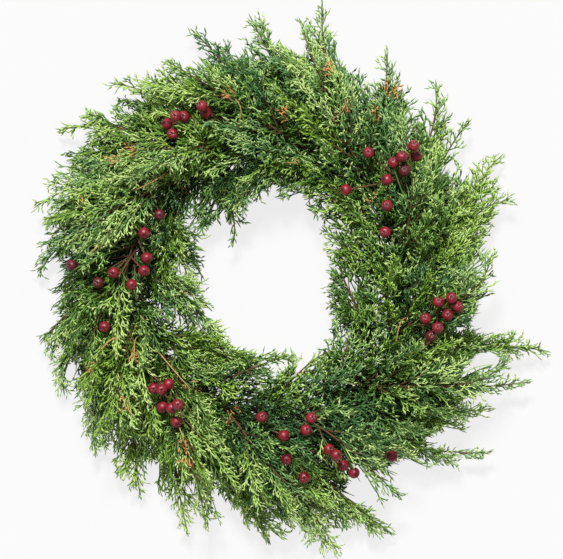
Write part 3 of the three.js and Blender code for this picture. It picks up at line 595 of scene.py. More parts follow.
def in_the_clear(limbs):
    """The limbs whose outer half runs through no clearing or hollow and over no berry."""
    half = limbs.path[:, limbs.path.shape[1] // 2:]
    hidden = near_spots(half, CLEARINGS, CLEARING_REACHES) | over_berries(half, BERRY_ROOM)
    hidden |= near_spots(half, HOLLOWS, HOLLOW_REACHES) & (half[..., 2] > HOLLOW_HEIGHT)
    return limbs.only(~hidden.any(1))


def room_ahead(root, way, margin):
    """How far limbs can run from their roots before they pass the crowded ring's edges."""
    points = root[:, None] + ROOM_STEPS[:, None] * way[:, None]
    outside = beyond_edges(points, margin) > 0
    return np.where(outside.any(1), ROOM_STEPS[np.argmax(outside, axis=1)], ROOM_STEPS[-1])


def limb_length(longest, least=math.inf, gain=0.0, fall=0.0):
    """How long a limb grows at a share s of a parent of length P: the smaller of
    longest (1 - fall s) and least + gain (1 - s) P."""

    def length(share, parent):
        return np.minimum(longest * (1 - fall * share), least + gain * (1 - share) * parent)

    return length


def sprout(rng, parents, length, spacing, first, last, spread, forward, lift, roll, points=3,
           tone_gain=0.1, bark_share=0.0, ranks=(0.0,), tone_spread=0.05, margin=None,
           droop=0.0, fresh_share=0.0, cool_spread=0.0):
    """Limbs that leave their parents at even steps, each turned on to the next side.

    From its root r on a parent of direction d, with w across it, a limb leaves along
    out = d cos(spread) + w sin(spread) and ends along on = d cos(forward) + w sin(forward):
    P(t) = r + L (t out + t^2 (on - out) / 2), less L droop t^2 in height. The sides alternate
    and ranks gives the tilts of w, in degrees, that follow each other. A margin keeps the
    limbs inside the ring's edges. The fresh share is new growth, much brighter than the rest.
    """
    count = np.maximum(((last - first) * parents.length / spacing).astype(int), 0)
    limb = np.repeat(np.arange(len(count)), count)
    order = np.arange(len(limb)) - np.repeat(np.cumsum(count) - count, count)
    total = len(limb)
    step = spacing / parents.length[limb]
    share = first + (order + 0.5 + rng.uniform(-STEP_SCATTER, STEP_SCATTER, total)) * step
    root, along = along_path(parents.path, limb, share)
    side, over = square_to(along, parents.over[limb])
    sign = np.where(order % 2 == 0, 1.0, -1.0)
    tilt = np.radians(np.array(ranks)[order // 2 % len(ranks)] + rng.normal(0, lift, total))
    way = (sign * np.cos(tilt))[:, None] * side + np.sin(tilt)[:, None] * over

    def turned(angle):
        turn = np.radians(angle + rng.normal(0, TURN_SCATTER, total))[:, None]
        return np.cos(turn) * along + np.sin(turn) * way

    out, onward = turned(spread), turned(forward)
    reach = length(share, parents.length[limb]) * rng.uniform(*LENGTH_RANGE, total)
    if margin is not None:
        reach = np.minimum(reach, room_ahead(root, (out + onward) / 2, margin))
    t = np.linspace(0, 1, points)[None, :, None]
    bow = t * out[:, None] + t**2 * (onward - out)[:, None] / 2
    path = root[:, None] + reach[:, None, None] * (bow - droop * t**2 * UP)
    face = unit(np.cross(onward, way) * sign[:, None])
    turn = np.radians(rng.normal(0, roll, total))[:, None]
    face = unit(np.cos(turn) * face + np.sin(turn) * np.cross(onward, face))
    here = between(parents.tone[limb], share) + rng.normal(0, tone_spread, total)
    here = here + FRESH_GAIN * (rng.random(total) < fresh_share)
    bark = np.stack((between(parents.bark[limb], share) * bark_share, np.zeros(total)), 1)
    cool = np.clip(parents.cool[limb] + rng.normal(0, cool_spread, total), 0, 1)
    tone = np.stack((here, here + tone_gain), 1)
    return Limbs(path, face, tone, bark, parents.rust[limb], cool)


# ---- Skins ----


def around(side, upper, sides):
    """s cos a + o sin a at even angles a, for every side s and upper direction o."""
    angle = 2 * np.pi * np.arange(sides)[:, None] / sides
    return np.cos(angle) * side[..., None, :] + np.sin(angle) * upper[..., None, :]


def ring_faces(rings, sides, foot=False):
    """Triangles between rings of corners and on to a tip, which is the next corner. With a
    foot, the corner after the tip closes the first ring."""
    ring, k = np.indices((rings - 1, sides)).reshape(2, -1)
    low, low_next = ring * sides + k, ring * sides + (k + 1) % sides
    k = np.arange(sides)
    after, crown, tip = (k + 1) % sides, (rings - 1) * sides, np.full(sides, rings * sides)
    faces = [(low, low_next, low_next + sides), (low, low_next + sides, low + sides),
             (crown + k, crown + after, tip)]
    if foot:
        faces.append((after, k, tip + 1))
    return np.concatenate([np.stack(face, 1) for face in faces])


def repeated(one, total, corners):
    """One limb's triangles for every limb of so many corners."""
    return (one + (np.arange(total) * corners)[:, None, None]).reshape(-1, 3)


def strands(path, over, radius, sides):
    """Closed tapering tubes: P(t) + r(t) (s cos a + o sin a), with a pointed tip.

    s and o are the directions to the side and over the path. radius holds r at each path
    point but the last, which is the tip. Returns corner points and triangles.
    """
    total, rings = len(path), path.shape[1] - 1
    along = unit(np.gradient(path, axis=1))[:, :rings]
    thick = np.broadcast_to(radius, (total, rings))[..., None, None]
    skin = path[:, :rings, None] + thick * around(*square_to(along, over[:, None]), sides)
    corners = np.concatenate((skin.reshape(total, -1, 3), path[:, -1:]), 1)
    k = np.arange(1, sides - 1)
    cap = np.stack((np.zeros(sides - 2, int), k + 1, k), 1)
    one = np.concatenate((ring_faces(rings, sides), cap))
    return corners.reshape(-1, 3), repeated(one, total, corners.shape[1])


def spindles(path, over, width):
    """Leaf prongs with two pointed ends. At m, 0.85 of the way to the middle of a path of
    three, they have three corners: m + w (s cos a + 0.7 o sin a), a = 90, 210, 330 degrees."""
    root, middle, tip = (path[:, k] for k in range(3))
    side, upper = square_to(unit(tip - root), over)
    angle = np.radians((90, 210, 330))[None, :, None]
    out = np.cos(angle) * side[:, None] + 0.7 * np.sin(angle) * upper[:, None]
    girth = (root + 0.85 * (middle - root))[:, None] + width[:, None, None] * out
    corners = np.concatenate((root[:, None], girth, tip[:, None]), 1)
    one = np.array(((0, 2, 1), (0, 3, 2), (0, 1, 3), (1, 2, 4), (2, 3, 4), (3, 1, 4)))
    return corners.reshape(-1, 3), repeated(one, len(path), 5)


def put(name, data):
    """A new object in the scene."""
    thing = bpy.data.objects.new(name, data)
    bpy.context.scene.collection.objects.link(thing)
    return thing


class Skin:
    """Gathers corner points, triangles and values per corner into one mesh."""

    def __init__(self):
        self.corners, self.triangles, self.values = [], [], {}
        self.size = 0

    def add(self, corners, triangles, **values):
        """Adds one batch of faces and its values per corner."""
        self.corners.append(corners)
        self.triangles.append(triangles + self.size)
        self.size += len(corners)
        for name, value in values.items():
            self.values.setdefault(name, []).append(value)

    def add_batch(self, limbs, shape, share):
        """Adds limbs with their looks, each corner's at its share of the way to the tip."""
        tone, bark = (between(ends[:, None], share).ravel() for ends in (limbs.tone, limbs.bark))
        rust, cool = (np.repeat(look, len(share)) for look in (limbs.rust, limbs.cool))
        self.add(*shape, tone=tone, bark=bark, rust=rust, cool=cool)

    def add_limbs(self, limbs, radius, sides):
        """Adds limbs as strands."""
        rings = limbs.path.shape[1] - 1
        share = np.append(np.repeat(np.arange(rings) / rings, sides), 1.0)
        self.add_batch(limbs, strands(limbs.path, limbs.over, radius, sides), share)

    def add_prongs(self, limbs, width):
        """Adds limbs of three points as leaf prongs, brightest at the tip."""
        share = np.array((0, 0.5, 0.5, 0.5, 1.0))
        self.add_batch(limbs, spindles(limbs.path, limbs.over, width), share)

    def write(self, name, material, slot, node):
        """Writes the mesh in metres about the ring's centre. The piece rides on the wreath, takes
        the material's finish and stands for its node. The slot is not used."""
        corners = np.concatenate(self.corners) * MM + RING_CENTRE
        triangles = np.concatenate(self.triangles)
        mesh = bpy.data.meshes.new(name)
        mesh.vertices.add(len(corners))
        mesh.vertices.foreach_set("co", corners.astype(np.float32).ravel())
        mesh.loops.add(triangles.size)
        mesh.loops.foreach_set("vertex_index", triangles.astype(np.int32).ravel())
        mesh.polygons.add(len(triangles))
        mesh.polygons.foreach_set("loop_start", np.arange(0, triangles.size, 3, dtype=np.int32))
        mesh.update(calc_edges=True)
        mesh.shade_smooth()
        for key, batches in self.values.items():
            attribute = mesh.attributes.new(key, "FLOAT", "POINT")
            attribute.data.foreach_set("value", np.concatenate(batches).astype(np.float32))
        mesh.materials.append(material)
        piece = put(name, mesh)
        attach(piece, "root")
        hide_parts(node)


# ---- Materials ----

BLACK, WHITE = (0, 0, 0), (1, 1, 1)

# Where along a value the colours of a ramp stand: of noise, of a limb's bark and of its tone.
GRAIN, COARSE, WEAR = (0.35, 0.65), (0.3, 0.7), (0.3, 0.75)
WOODY_FROM, BARE_FROM = (0.3, 0.5), (0.9, 1.0)
LEAF_TONES = (0.0, 0.4, 0.75, 1.0)


class Finish:
    """A node material with a principled shader, built with few words."""

    def __init__(self, name, **looks):
        self.material = bpy.data.materials.new(name)
        self.material.use_nodes = True
        self.tree = self.material.node_tree
        self.shader = self.tree.nodes["Principled BSDF"]
        self.set(self.shader, looks)

    def set(self, node, inputs):
        """Gives each input of a node another node's output, a colour or a number."""
        for name, value in inputs.items():
            socket = node.inputs[name]
            if isinstance(value, bpy.types.NodeSocket):
                self.tree.links.new(value, socket)
            else:
                socket.default_value = (*value, 1) if socket.type == "RGBA" else value

    def node(self, kind, inputs, **options):
        """A new node with its inputs and options set."""
        node = self.tree.nodes.new(f"ShaderNode{kind}")
        for name, value in options.items():
            setattr(node, name, value)
        self.set(node, inputs)
        return node

    def value(self, name):
        """A value that the mesh carries at its corners."""
        return self.node("Attribute", {}, attribute_name=name).outputs["Fac"]

    def noise(self, scale, detail):
        """Noise over the object's own coordinates, in cells per metre."""
        inputs = {"Vector": self.node("TexCoord", {}).outputs["Object"],
                  "Scale": scale, "Detail": detail}
        return self.node("TexNoise", inputs).outputs["Fac"]

    def ramp(self, value, places, *colours):
        """A colour for each place along a value, blended between."""
        node = self.node("ValToRGB", {"Fac": value})
        elements = node.color_ramp.elements
        while len(elements) < len(places):
            elements.new(0.5)
        for element, place, colour in zip(elements, places, colours):
            element.position = place
            element.color = (*colour, 1)
        return node.outputs["Color"]

    def mottled(self, value, places, colour, darker):
        """A colour, darker by a share where the value is low."""
        return self.ramp(value, places, tuple(part * (1 - darker) for part in colour), colour)

    def mix(self, share, first, second):
        """first where the share is 0, second where it is 1. The node's colours are its
        inputs 6 and 7 and its output 2."""
        return self.node("Mix", {0: share, 6: first, 7: second}, data_type="RGBA").outputs[2]

    def colour(self, colour):
        """Sets the surface's colour."""
        self.set(self.shader, {"Base Color": colour})

    def bump(self, height, share, depth):
        """Raises the surface by a share of a depth in metres, where the height is 1."""
        inputs = {"Height": height, "Strength": share, "Distance": depth}
        self.set(self.shader, {"Normal": self.node("Bump", inputs).outputs["Normal"]})


def foliage_finish(settings):
    """Juniper: old green to new green by the tone, which also carries painted light on high
    foliage and painted shade on low and inner limbs, and 0.2 of the noise about its mean, bark on
    the wood, rusty shoots."""
    finish = Finish("juniper_green", **{"Roughness": 0.48, "Specular IOR Level": 0.24})
    patches = finish.noise(scale=28, detail=2)
    grain = finish.noise(scale=900, detail=2)
    patchy = finish.node("Math", {0: patches, 1: 0.2, 2: -0.1}, operation="MULTIPLY_ADD")
    tone = finish.node("Math", {0: finish.value("tone"), 1: patchy.outputs[0]},
                       operation="ADD").outputs[0]
    warm = finish.ramp(tone, LEAF_TONES, settings.deep_green, settings.middle_green,
                       settings.tip_green, settings.fresh_green)
    cool = finish.ramp(tone, LEAF_TONES, settings.deep_blue_green, settings.middle_blue_green,
                       settings.tip_blue_green, settings.fresh_green)
    green = finish.mix(finish.value("cool"), warm, cool)
    old_bark = finish.mottled(grain, GRAIN, settings.stem_brown, darker=0.45)
    bare_bark = finish.mottled(grain, GRAIN, settings.bare_tan, darker=0.4)
    bare = finish.ramp(finish.value("bark"), BARE_FROM, BLACK, WHITE)
    woody = finish.ramp(finish.value("bark"), WOODY_FROM, BLACK, WHITE)
    leafy = finish.mix(woody, green, finish.mix(bare, old_bark, bare_bark))
    finish.colour(finish.mix(finish.value("rust"), leafy, settings.rust))
    finish.bump(grain, share=0.35, depth=0.0004)
    return finish.material


def berry_finish(settings):
    """Glossy crimson skin, mottled a little, with a dark starred dimple at its far end, and
    painted shade over the berries that lie deeper.
    """
    finish = Finish("berry_skin", **{"Roughness": 0.44, "Specular IOR Level": 0.5,
                                     "Coat Weight": 0.1, "Coat Roughness": 0.3})
    patches = finish.noise(scale=240, detail=3)
    skin = finish.mottled(patches, GRAIN, settings.berry_red, darker=0.5)
    # The calyx value darkens the dimple and also paints shade over the whole skin of the berries
    # that lie deeper.
    finish.colour(finish.mix(finish.value("calyx"), skin, settings.calyx_dark))
    finish.bump(finish.noise(scale=480, detail=3), share=0.45, depth=0.0006)
    return finish.material


def stalk_finish(settings):
    """Reddish-brown bark with a fine grain."""
    finish = Finish("berry_stalk_bark", **{"Roughness": 0.6, "Specular IOR Level": 0.3})
    grain = finish.noise(scale=800, detail=3)
    finish.colour(finish.mottled(grain, COARSE, settings.stalk_brown, darker=0.5))
    finish.bump(grain, share=0.4, depth=0.0004)
    return finish.material


def wire_finish(name, lacquer):
    """Lacquered wire, a little worn and uneven."""
    finish = Finish(name, **{"Roughness": 0.38, "Specular IOR Level": 0.5,
                             "Coat Weight": 0.25, "Coat Roughness": 0.1})
    finish.colour(finish.mottled(finish.noise(scale=160, detail=4), WEAR, lacquer, darker=0.3))
    finish.bump(finish.noise(scale=1200, detail=2), share=0.1, depth=0.0002)
    return finish.material


def floor_finish(settings):
    """Matt pale paper, partly lit from within."""
    return Finish("pale_floor", **{
        "Roughness": 0.9, "Specular IOR Level": 0.1, "Coat Roughness": 0.1,
        "Base Color": settings.floor_colour, "Emission Color": WHITE,
        "Emission Strength": settings.floor_glow}).material


# ---- Stems and sprays ----


def bezier(start, leave_end, arrive_start, end, points, steps=201):
    """Points at even distances on the cubic curve
    (1-t)^3 a + 3 (1-t)^2 t b + 3 (1-t) t^2 c + t^3 d."""
    t = np.linspace(0, 1, steps)[:, None]
    curve = (1 - t) ** 3 * start + 3 * (1 - t) ** 2 * t * leave_end
    curve = curve + 3 * (1 - t) * t**2 * arrive_start + t**3 * end
    gone = np.append(0, np.cumsum(np.linalg.norm(np.diff(curve, axis=0), axis=1)))
    even = np.linspace(0, gone[-1], points)
    return np.stack([np.interp(even, gone, curve[:, axis]) for axis in range(3)], 1)


def stem_curve(turn, slot_radius, slot_height, habit, tip, tip_heading, crest):
    """The curve from a cut end to a tip: along the ring at a rise, then down from the crest."""
    start = polar(turn, slot_radius, slot_height) + heading(turn + 90) * BUTT_AFTER
    leave_end = start + heading(turn + 90, habit["rise"]) * habit["leave"]
    arrive_start = tip - heading(tip_heading) * habit["arrive"]
    arrive_start[2] = crest + habit["lift"]
    return bezier(start, leave_end, arrive_start, tip, STEM_POINTS)


def with_butt(curve, turn, slot_radius, slot_height, before):
    """A stem's curve with the three points of its straight cut end before it."""
    steps = np.array((-before, -before / 2, 0.0))[:, None]
    cut_end = polar(turn, slot_radius, slot_height) + heading(turn + 90) * steps
    return np.concatenate((cut_end, curve))[None]


def taper(root, tip, power):
    """Radii of a stem with its butt: a + (b - a) s^p."""
    return root + (tip - root) * np.linspace(0, 1, STEM_POINTS + 2) ** power


def over_path(path):
    """The upper side of a path: up, made square to its mean direction."""
    along = unit(path[-1] - path[0])
    return unit(UP - along * (UP @ along))


def bent(start, middle, end, points):
    """Curves (1-t)^2 a + 2 (1-t) t b + t^2 c, one for each start."""
    t = np.linspace(0, 1, points)[None, :, None]
    return (1 - t) ** 2 * start[:, None] + 2 * (1 - t) * t * middle[:, None] + t**2 * end[:, None]


def settle(points, floor=7.0, crown=98.0, spare=9.0):
    """Presses foliage between the surface and the crown: z becomes f exp(z / f - 1) below f
    and c + s (1 - exp((c - z) / s)) above c."""
    height = points[:, 2]
    height = np.where(height < floor, floor * np.exp(height / floor - 1), height)
    high = crown + spare * (1 - np.exp((crown - np.maximum(height, crown)) / spare))
    points[:, 2] = np.where(height > crown, high, height)
    return points


def plume_boughs(stem, places):
    """Boughs from a stem to plumes at given places. Each leaves at the stem point r, of
    direction d, from where the way to the plume p is nearest to the plume angle off d, and is
    bent over r + k |p - r| d."""
    path = stem.path[0]
    along = unit(np.gradient(path, axis=0))
    tips = np.column_stack((places, np.full(len(places), PLUME_HEIGHT)))
    way = tips[:, None] - path[None]
    turned = np.einsum("ijk,jk->ij", unit(way * (1, 1, 0)), unit(along * (1, 1, 0)))
    off = np.abs(turned - math.cos(math.radians(PLUME_ANGLE)))
    chosen = PLUME_FIRST + np.argmin(off[:, PLUME_FIRST:PLUME_LAST], axis=1)
    root, leave = path[chosen], along[chosen]
    reach = np.linalg.norm(tips - root, axis=1)[:, None]
    curves = bent(root, root + PLUME_BOW * reach * leave, tips, BOUGH_POINTS)
    here = between(stem.tone, chosen / (len(path) - 1))
    tone, total = np.stack((here, here + PLUME_TONE_GAIN), 1), len(places)
    return Limbs(curves, unit(UP - leave * leave[:, 2:]), tone, np.tile(PLUME_BARK, (total, 1)),
                 np.zeros(total), np.full(total, stem.cool[0]))


def bare_twigs(boughs, places):
    """Bare twigs that come up out of the nearest bough and lie over the spray."""
    joints = boughs.path[:, 2:-1].reshape(-1, 3)
    twigs = []
    for x_up, y_up, x_end, y_end, height in places:
        up, end = from_picture([(x_up, y_up), (x_end, y_end)])
        root = joints[np.argmin(np.hypot(*(joints[:, :2] - up).T))]
        twigs.append(bezier(root, np.append(up, height), np.append((up + 2 * end) / 3, height),
                            np.append(end, height - BARE_DROP), BOUGH_POINTS))
    total = len(twigs)
    return Limbs(np.array(twigs), np.tile(UP, (total, 1)), np.full((total, 2), 0.5),
                 np.ones((total, 2)), np.zeros(total), np.zeros(total))


def grow_limbs(rng, stem, habit, settings, plumes):
    """All that grows on a stem, the upper and the low limbs of each kind in turn."""

    def mm(name):
        return getattr(settings, name) / MM

    bough_length = limb_length(mm("longest_bough") * habit["boughs"], **BOUGH_LENGTH)
    twig_length = limb_length(mm("longest_twig"), **TWIG_LENGTH)
    shoot_length = limb_length(mm("longest_shoot"), **SHOOT_LENGTH)
    leaf_length = limb_length(mm("prong_length"), **LEAF_LENGTH)
    boughs = sprout(rng, stem, bough_length, mm("bough_spacing"), **BOUGHS)
    boughs = boughs.only(~over_berries(boughs.path, BOUGH_ROOM).any(1))
    plume = plume_boughs(stem, from_picture(plumes))
    under = sprout(rng, stem, bough_length, **UNDER_BOUGHS)
    # Painted shade: the under-boughs, which lie low, are made darker.
    under.tone -= PAINTED_SHADE_UNDER_BOUGHS
    twigs = in_the_clear(together(
        sprout(rng, stem, twig_length, mm("twig_spacing"), **STEM_TWIGS),
        sprout(rng, boughs, twig_length, mm("twig_spacing"), margin=CROWDED_MARGIN, **TWIGS),
        sprout(rng, plume, twig_length, mm("twig_spacing"), **TWIGS),
    ))
    boughs = together(boughs, plume)
    low_twigs = in_the_clear(sprout(rng, under, twig_length, **LOW_TWIGS))
    shoots = in_the_clear(together(
        sprout(rng, twigs, shoot_length, mm("shoot_spacing"), **SHOOTS),
        sprout(rng, boughs, shoot_length, mm("shoot_spacing"), **BOUGH_END),
        sprout(rng, stem, shoot_length, mm("shoot_spacing"), **STEM_END),
    ))
    shoots.rust = near_spots(shoots.path[:, 0], RUST_SPOTS, RUST_REACH).astype(float)
    low_shoots = in_the_clear(sprout(rng, low_twigs, shoot_length, **LOW_SHOOTS))
    leaves = together(
        sprout(rng, shoots, leaf_length, mm("prong_spacing"), **LEAVES),
        sprout(rng, twigs, leaf_length, mm("prong_spacing"), **TWIG_LEAVES),
    )
    # Painted shade: the twigs and boughs inside the spray are made darker, the twigs most at their
    # roots.
    twigs.tone -= PAINTED_SHADE_TWIGS
    boughs.tone -= PAINTED_SHADE_BOUGHS
    low_leaves = sprout(rng, low_shoots, leaf_length, **LOW_LEAVES)
    return boughs, under, twigs, low_twigs, shoots, low_shoots, leaves, low_leaves


def grow_spray(rng, turn, slot_radius, habit, row, settings, plumes, bare):
    """One feathery spray: a woody stem and all that grows on it, as one skin."""
    angle, radius, tip_heading, tip_height, crest = row
    tip = polar(angle, radius, tip_height)
    curve = stem_curve(turn, slot_radius, BUTT_HEIGHT, habit, tip, tip_heading, crest)
    shade, cool = rng.normal(0, SHADE_SPREAD), rng.uniform(0, 1, 1)
    stem = Limbs(curve[None], over_path(curve)[None],
                 np.array([[STEM_TONE, habit["fresh"]]]) + shade, np.array([STEM_BARK]),
                 np.zeros(1), cool)
    boughs, under, twigs, low_twigs, shoots, low_shoots, leaves, low_leaves = grow_limbs(
        rng, stem, habit, settings, plumes)

    skin = Skin()
    wood = with_butt(curve, turn, slot_radius, BUTT_HEIGHT, BUTT_BEFORE)
    thick = taper(BUTT_RADIUS, STEM_TIP_RADIUS, STEM_TAPER)
    skin.add_limbs(Limbs(wood, *stem.parts()[1:]), thick, STEM_SIDES)
    if bare:
        skin.add_limbs(bare_twigs(boughs, bare), BARE_RADII, STALK_SIDES)
    for limbs in (boughs, under):
        girth = BOUGH_RADIUS + BOUGH_GAIN * limbs.length
        skin.add_limbs(limbs, girth[:, None] * BOUGH_TAPER, BOUGH_SIDES)
    skin.add_limbs(twigs, TWIG_RADII, TWIG_SIDES)
    skin.add_limbs(low_twigs, LOW_TWIG_RADIUS, TWIG_SIDES)
    for limbs in (shoots, low_shoots):
        skin.add_limbs(limbs, SHOOT_RADIUS, TWIG_SIDES)
    half = settings.prong_width / MM / 2
    for limbs, width in ((leaves, half), (low_leaves, LOW_LEAF_WIDTH * half)):
        skin.add_prongs(limbs, width * rng.uniform(*LEAF_WIDTHS, len(limbs.length)))
    for corners, tone in zip(skin.corners, skin.values["tone"]):
        settle(corners)
        # Painted light and shade: foliage above the middle height is made lighter, below it
        # darker.
        tone += PAINTED_LIGHT_BY_HEIGHT * np.clip((corners[:, 2] - PAINTED_LIGHT_HEIGHT) / PAINTED_LIGHT_HEIGHT, -1, 1)
    return skin


class WREATH_OT_sprays(bpy.types.Operator):
    """Grows the outer sprays of the spiky outline, the top and the inner sprays"""

    bl_idname = "wreath.sprays"
    bl_label = "Sprays"

    def execute(self, context):
        settings = context.scene.wreath_foliage
        material = foliage_finish(settings)
        outer_turns = range(OUTER_FIRST_TURN, OUTER_FIRST_TURN + 360, TURN_STEP)
        families = {
            "outer": (OUTER_SPRAYS, outer_turns, OUTER_SLOT, OUTER_HABIT, OUTER_PLUMES_PX),
            "top": (TOP_SPRAYS, range(0, 360, 2 * TURN_STEP), INNER_SLOT, TOP_HABIT, {}),
            "inner": (INNER_SPRAYS, INNER_TURNS, INNER_SLOT, INNER_HABIT, INNER_PLUMES_PX),
        }
        for group, (family, (rows, turns, slot, habit, plumes)) in enumerate(families.items()):
            for k, (row, turn) in enumerate(zip(rows, turns), 1):
                rng = np.random.default_rng(settings.seed + SEEDS_APART * group + k - 1)
                bare = [twig[1:] for twig in BARE_TWIGS_PX if (family, k) == ("top", twig[0])]
                skin = grow_spray(rng, turn, slot, habit, row, settings, plumes.get(k, ()), bare)
                node = f"spray_{family}_{k:02d}"
                skin.write(f"fine_{node}", material, "foliage", node)
        return {"FINISHED"}


# ---- Berries ----

# How far a berry leans in degrees, and how far that varies. How far up a berry its stalk
# ends, how far back the stalk bends, and how much thicker it is at its ends. Berries are
# turned by a direction that is a little aslant.
BERRY_LEAN, BERRY_LEAN_SWING = 28, 20
STALK_END = 0.9
STALK_BEND = 0.5
STALK_FLARE = 0.25
ASLANT = np.array((0.3, 0.1, 0.0))


def berry_skins(centres, axes, radius):
    """Berries with a starred dimple at the far end, as a function of u round and v along.

    A sphere of radius R, 0.96 R high, v from the foot (0.06) to the far end (pi - 0.05), with
    q = pi - v. It is sunk by 0.2 R exp(-(q / w)^2) and by 0.12 R exp(-(v / 0.25)^2), and
    raised by 0.05 R exp(-((q - 0.42) / 0.14)^2), where w = 0.3 (1 + 0.4 cos 5u) gives the
    star. The calyx value is 1.15 exp(-(q / 0.95 w)^2) dark, and at least the shade share all
    over the berries that lie deeper, as painted shade.
    """
    rows, sides, total = 15, 24, len(centres)
    v = np.linspace(0.06, np.pi - 0.05, rows)[:, None]
    u = (2 * np.pi * np.arange(sides) / sides)[None]
    q = np.pi - v
    star = 0.3 * (1 + 0.4 * np.cos(5 * u))
    rise = -radius * 0.96 * np.cos(v) - 0.2 * radius * np.exp(-((q / star) ** 2))
    rise = rise + 0.12 * radius * np.exp(-((v / 0.25) ** 2))
    rise = rise + 0.05 * radius * np.exp(-(((q - 0.42) / 0.14) ** 2))
    ring = around(*square_to(axes, UP + ASLANT), sides)[:, None]
    skin = centres[:, None, None] + radius * np.sin(v)[..., None] * ring
    skin = (skin + rise[..., None] * axes[:, None, None]).reshape(total, -1, 3)
    crown, foot = (centres + axes * rise[row].mean() for row in (-1, 0))
    corners = np.concatenate((skin, crown[:, None], foot[:, None]), 1)
    dark = np.clip(1.15 * np.exp(-((q / (star * 0.95)) ** 2)), 0, 1)
    # Painted shade: the berries that lie deeper are darkened all over towards the calyx colour.
    painted_shade = BERRY_SHADE_SHARE * near_spots(centres, SHADED_BERRIES, DIM_REACH)
    calyx = np.maximum(np.append(dark.ravel(), (1, 0)), painted_shade[:, None])
    triangles = repeated(ring_faces(rows, sides, foot=True), total, corners.shape[1])
    return corners.reshape(-1, 3), triangles, calyx.ravel()


def grow_sprig(node, turn, end, first_fork, berries, settings, materials):
    """One sprig: a forking stalk and its berries, each leaning away from its own fork."""
    berry_material, stalk_material = materials
    radius = settings.berry_diameter / MM / 2
    tip = np.array(end, float)
    along_ring = np.degrees(np.arctan2(tip[1], tip[0])) + 90
    curve = stem_curve(turn, SPRIG_SLOT, SPRIG_BUTT_HEIGHT, SPRIG_HABIT, tip, along_ring, tip[2])
    centres = np.array(berries, float)
    share = np.linspace(first_fork, LAST_FORK, max(3, math.ceil(len(berries) / 2)))
    forks, along = along_path(curve[None], 0, share)
    root = forks[np.argmin(gaps_to(centres, forks + along * FORK_AHEAD), 1)]
    level = unit((centres - root) * (1, 1, 0))
    tilt = np.radians(BERRY_LEAN + BERRY_LEAN_SWING * np.sin(centres.sum(1)))[:, None]
    axes = UP * np.cos(tilt) + level * np.sin(tilt)
    foot = centres - axes * radius * STALK_END
    elbow = foot - axes * STALK_BEND * np.linalg.norm(foot - root, axis=1)[:, None]
    path = bent(root, elbow, foot, STALK_POINTS)
    side = unit(np.cross(path[:, -1] - path[:, 0], UP) + 1e-6)

    wood = Skin()
    main = with_butt(curve, turn, SPRIG_SLOT, SPRIG_BUTT_HEIGHT, SPRIG_BUTT_BEFORE)
    thick = taper(SPRIG_BUTT_RADIUS, SPRIG_TIP_RADIUS, SPRIG_TAPER)
    wood.add(*strands(main, over_path(curve)[None], thick, STEM_SIDES))
    flare = 1 + STALK_FLARE * np.abs(np.linspace(-1, 1, STALK_POINTS - 1)) ** 3
    wood.add(*strands(path, side, settings.stalk_diameter / MM / 2 * flare, STALK_SIDES))
    wood.write(f"{node}_stalks", stalk_material, "foliage", node)

    flesh = Skin()
    corners, triangles, calyx = berry_skins(centres, axes, radius)
    flesh.add(corners, triangles, calyx=calyx)
    flesh.write(f"{node}_berries", berry_material, "berries", node)


class WREATH_OT_berry_sprigs(bpy.types.Operator):
    """Grows the six sprigs with their fifty berries"""

    bl_idname = "wreath.berry_sprigs"
    bl_label = "Berry sprigs"

    def execute(self, context):
        settings = context.scene.wreath_berries
        materials = (berry_finish(settings), stalk_finish(settings))
        for k, sprig in enumerate(BERRY_SPRIGS):
            grow_sprig(f"berry_sprig_{k + 1}", *sprig, settings, materials)
        return {"FINISHED"}


# ---- Wires ----


def hoop(radius, height, thick, sides=12, steps=240):
    """A round wire ring: ((R + r cos v) cos u, (R + r cos v) sin u, h + r sin v)."""
    u = (2 * np.pi * np.arange(steps) / steps)[:, None]
    v = (2 * np.pi * np.arange(sides) / sides)[None]
    reach = radius + thick * np.cos(v)
    rise = height + thick * np.sin(v) + 0 * u
    corners = np.stack((reach * np.cos(u), reach * np.sin(u), rise), -1)
    i, j = np.indices((steps, sides)).reshape(2, -1)
    ahead, after = (i + 1) % steps * sides, (j + 1) % sides
    a, b, c, d = i * sides + j, i * sides + after, ahead + j, ahead + after
    return corners.reshape(-1, 3), np.concatenate((np.stack((a, c, d), 1), np.stack((a, d, b), 1)))


def rod(start, end, thick, sides=12):
    """A straight wire with rounded ends: r sqrt(1 - x^2) at a share x of each end's cap."""
    cap = np.array((0.02, 0.3, 0.7, 1.0))
    round_end = np.sqrt(1 - (1 - cap) ** 2)
    length = np.linalg.norm(end - start)
    steps = np.concatenate((cap * thick, [length / 2], length - cap[::-1] * thick, [length]))
    path = start + (end - start) * (steps / length)[:, None]
    width = np.concatenate((round_end, [1.0], round_end[::-1])) * thick
    return strands(path[None], UP[None], width, sides)


class WREATH_OT_wire_frame(bpy.types.Operator):
    """Builds the welded ring of round wire"""

    bl_idname = "wreath.wire_frame"
    bl_label = "Wire frame"

    def execute(self, context):
        settings = context.scene.wreath_wires
        thick = settings.rod_diameter / MM / 2
        skin = Skin()
        for radius in LOW_RAIL_RADII:
            skin.add(*hoop(radius, ROD_SIZE / 2, thick))
        for radius in MID_RAIL_RADII:
            skin.add(*hoop(radius, MID_RAIL_BOTTOM + ROD_SIZE / 2, thick))
        reaches = (LOW_RAIL_RADII[0] - thick, LOW_RAIL_RADII[1] + thick)
        for k in range(BAR_COUNT):
            angle = BAR_FIRST_ANGLE + 360 * k / BAR_COUNT
            ends = [polar(angle, reach, BAR_BOTTOM + ROD_SIZE / 2) for reach in reaches]
            skin.add(*rod(*ends, thick))
        finish = wire_finish("frame_paint", settings.frame_green)
        skin.write("round_wire_frame", finish, "frame_wire", "wire_frame")
        return {"FINISHED"}


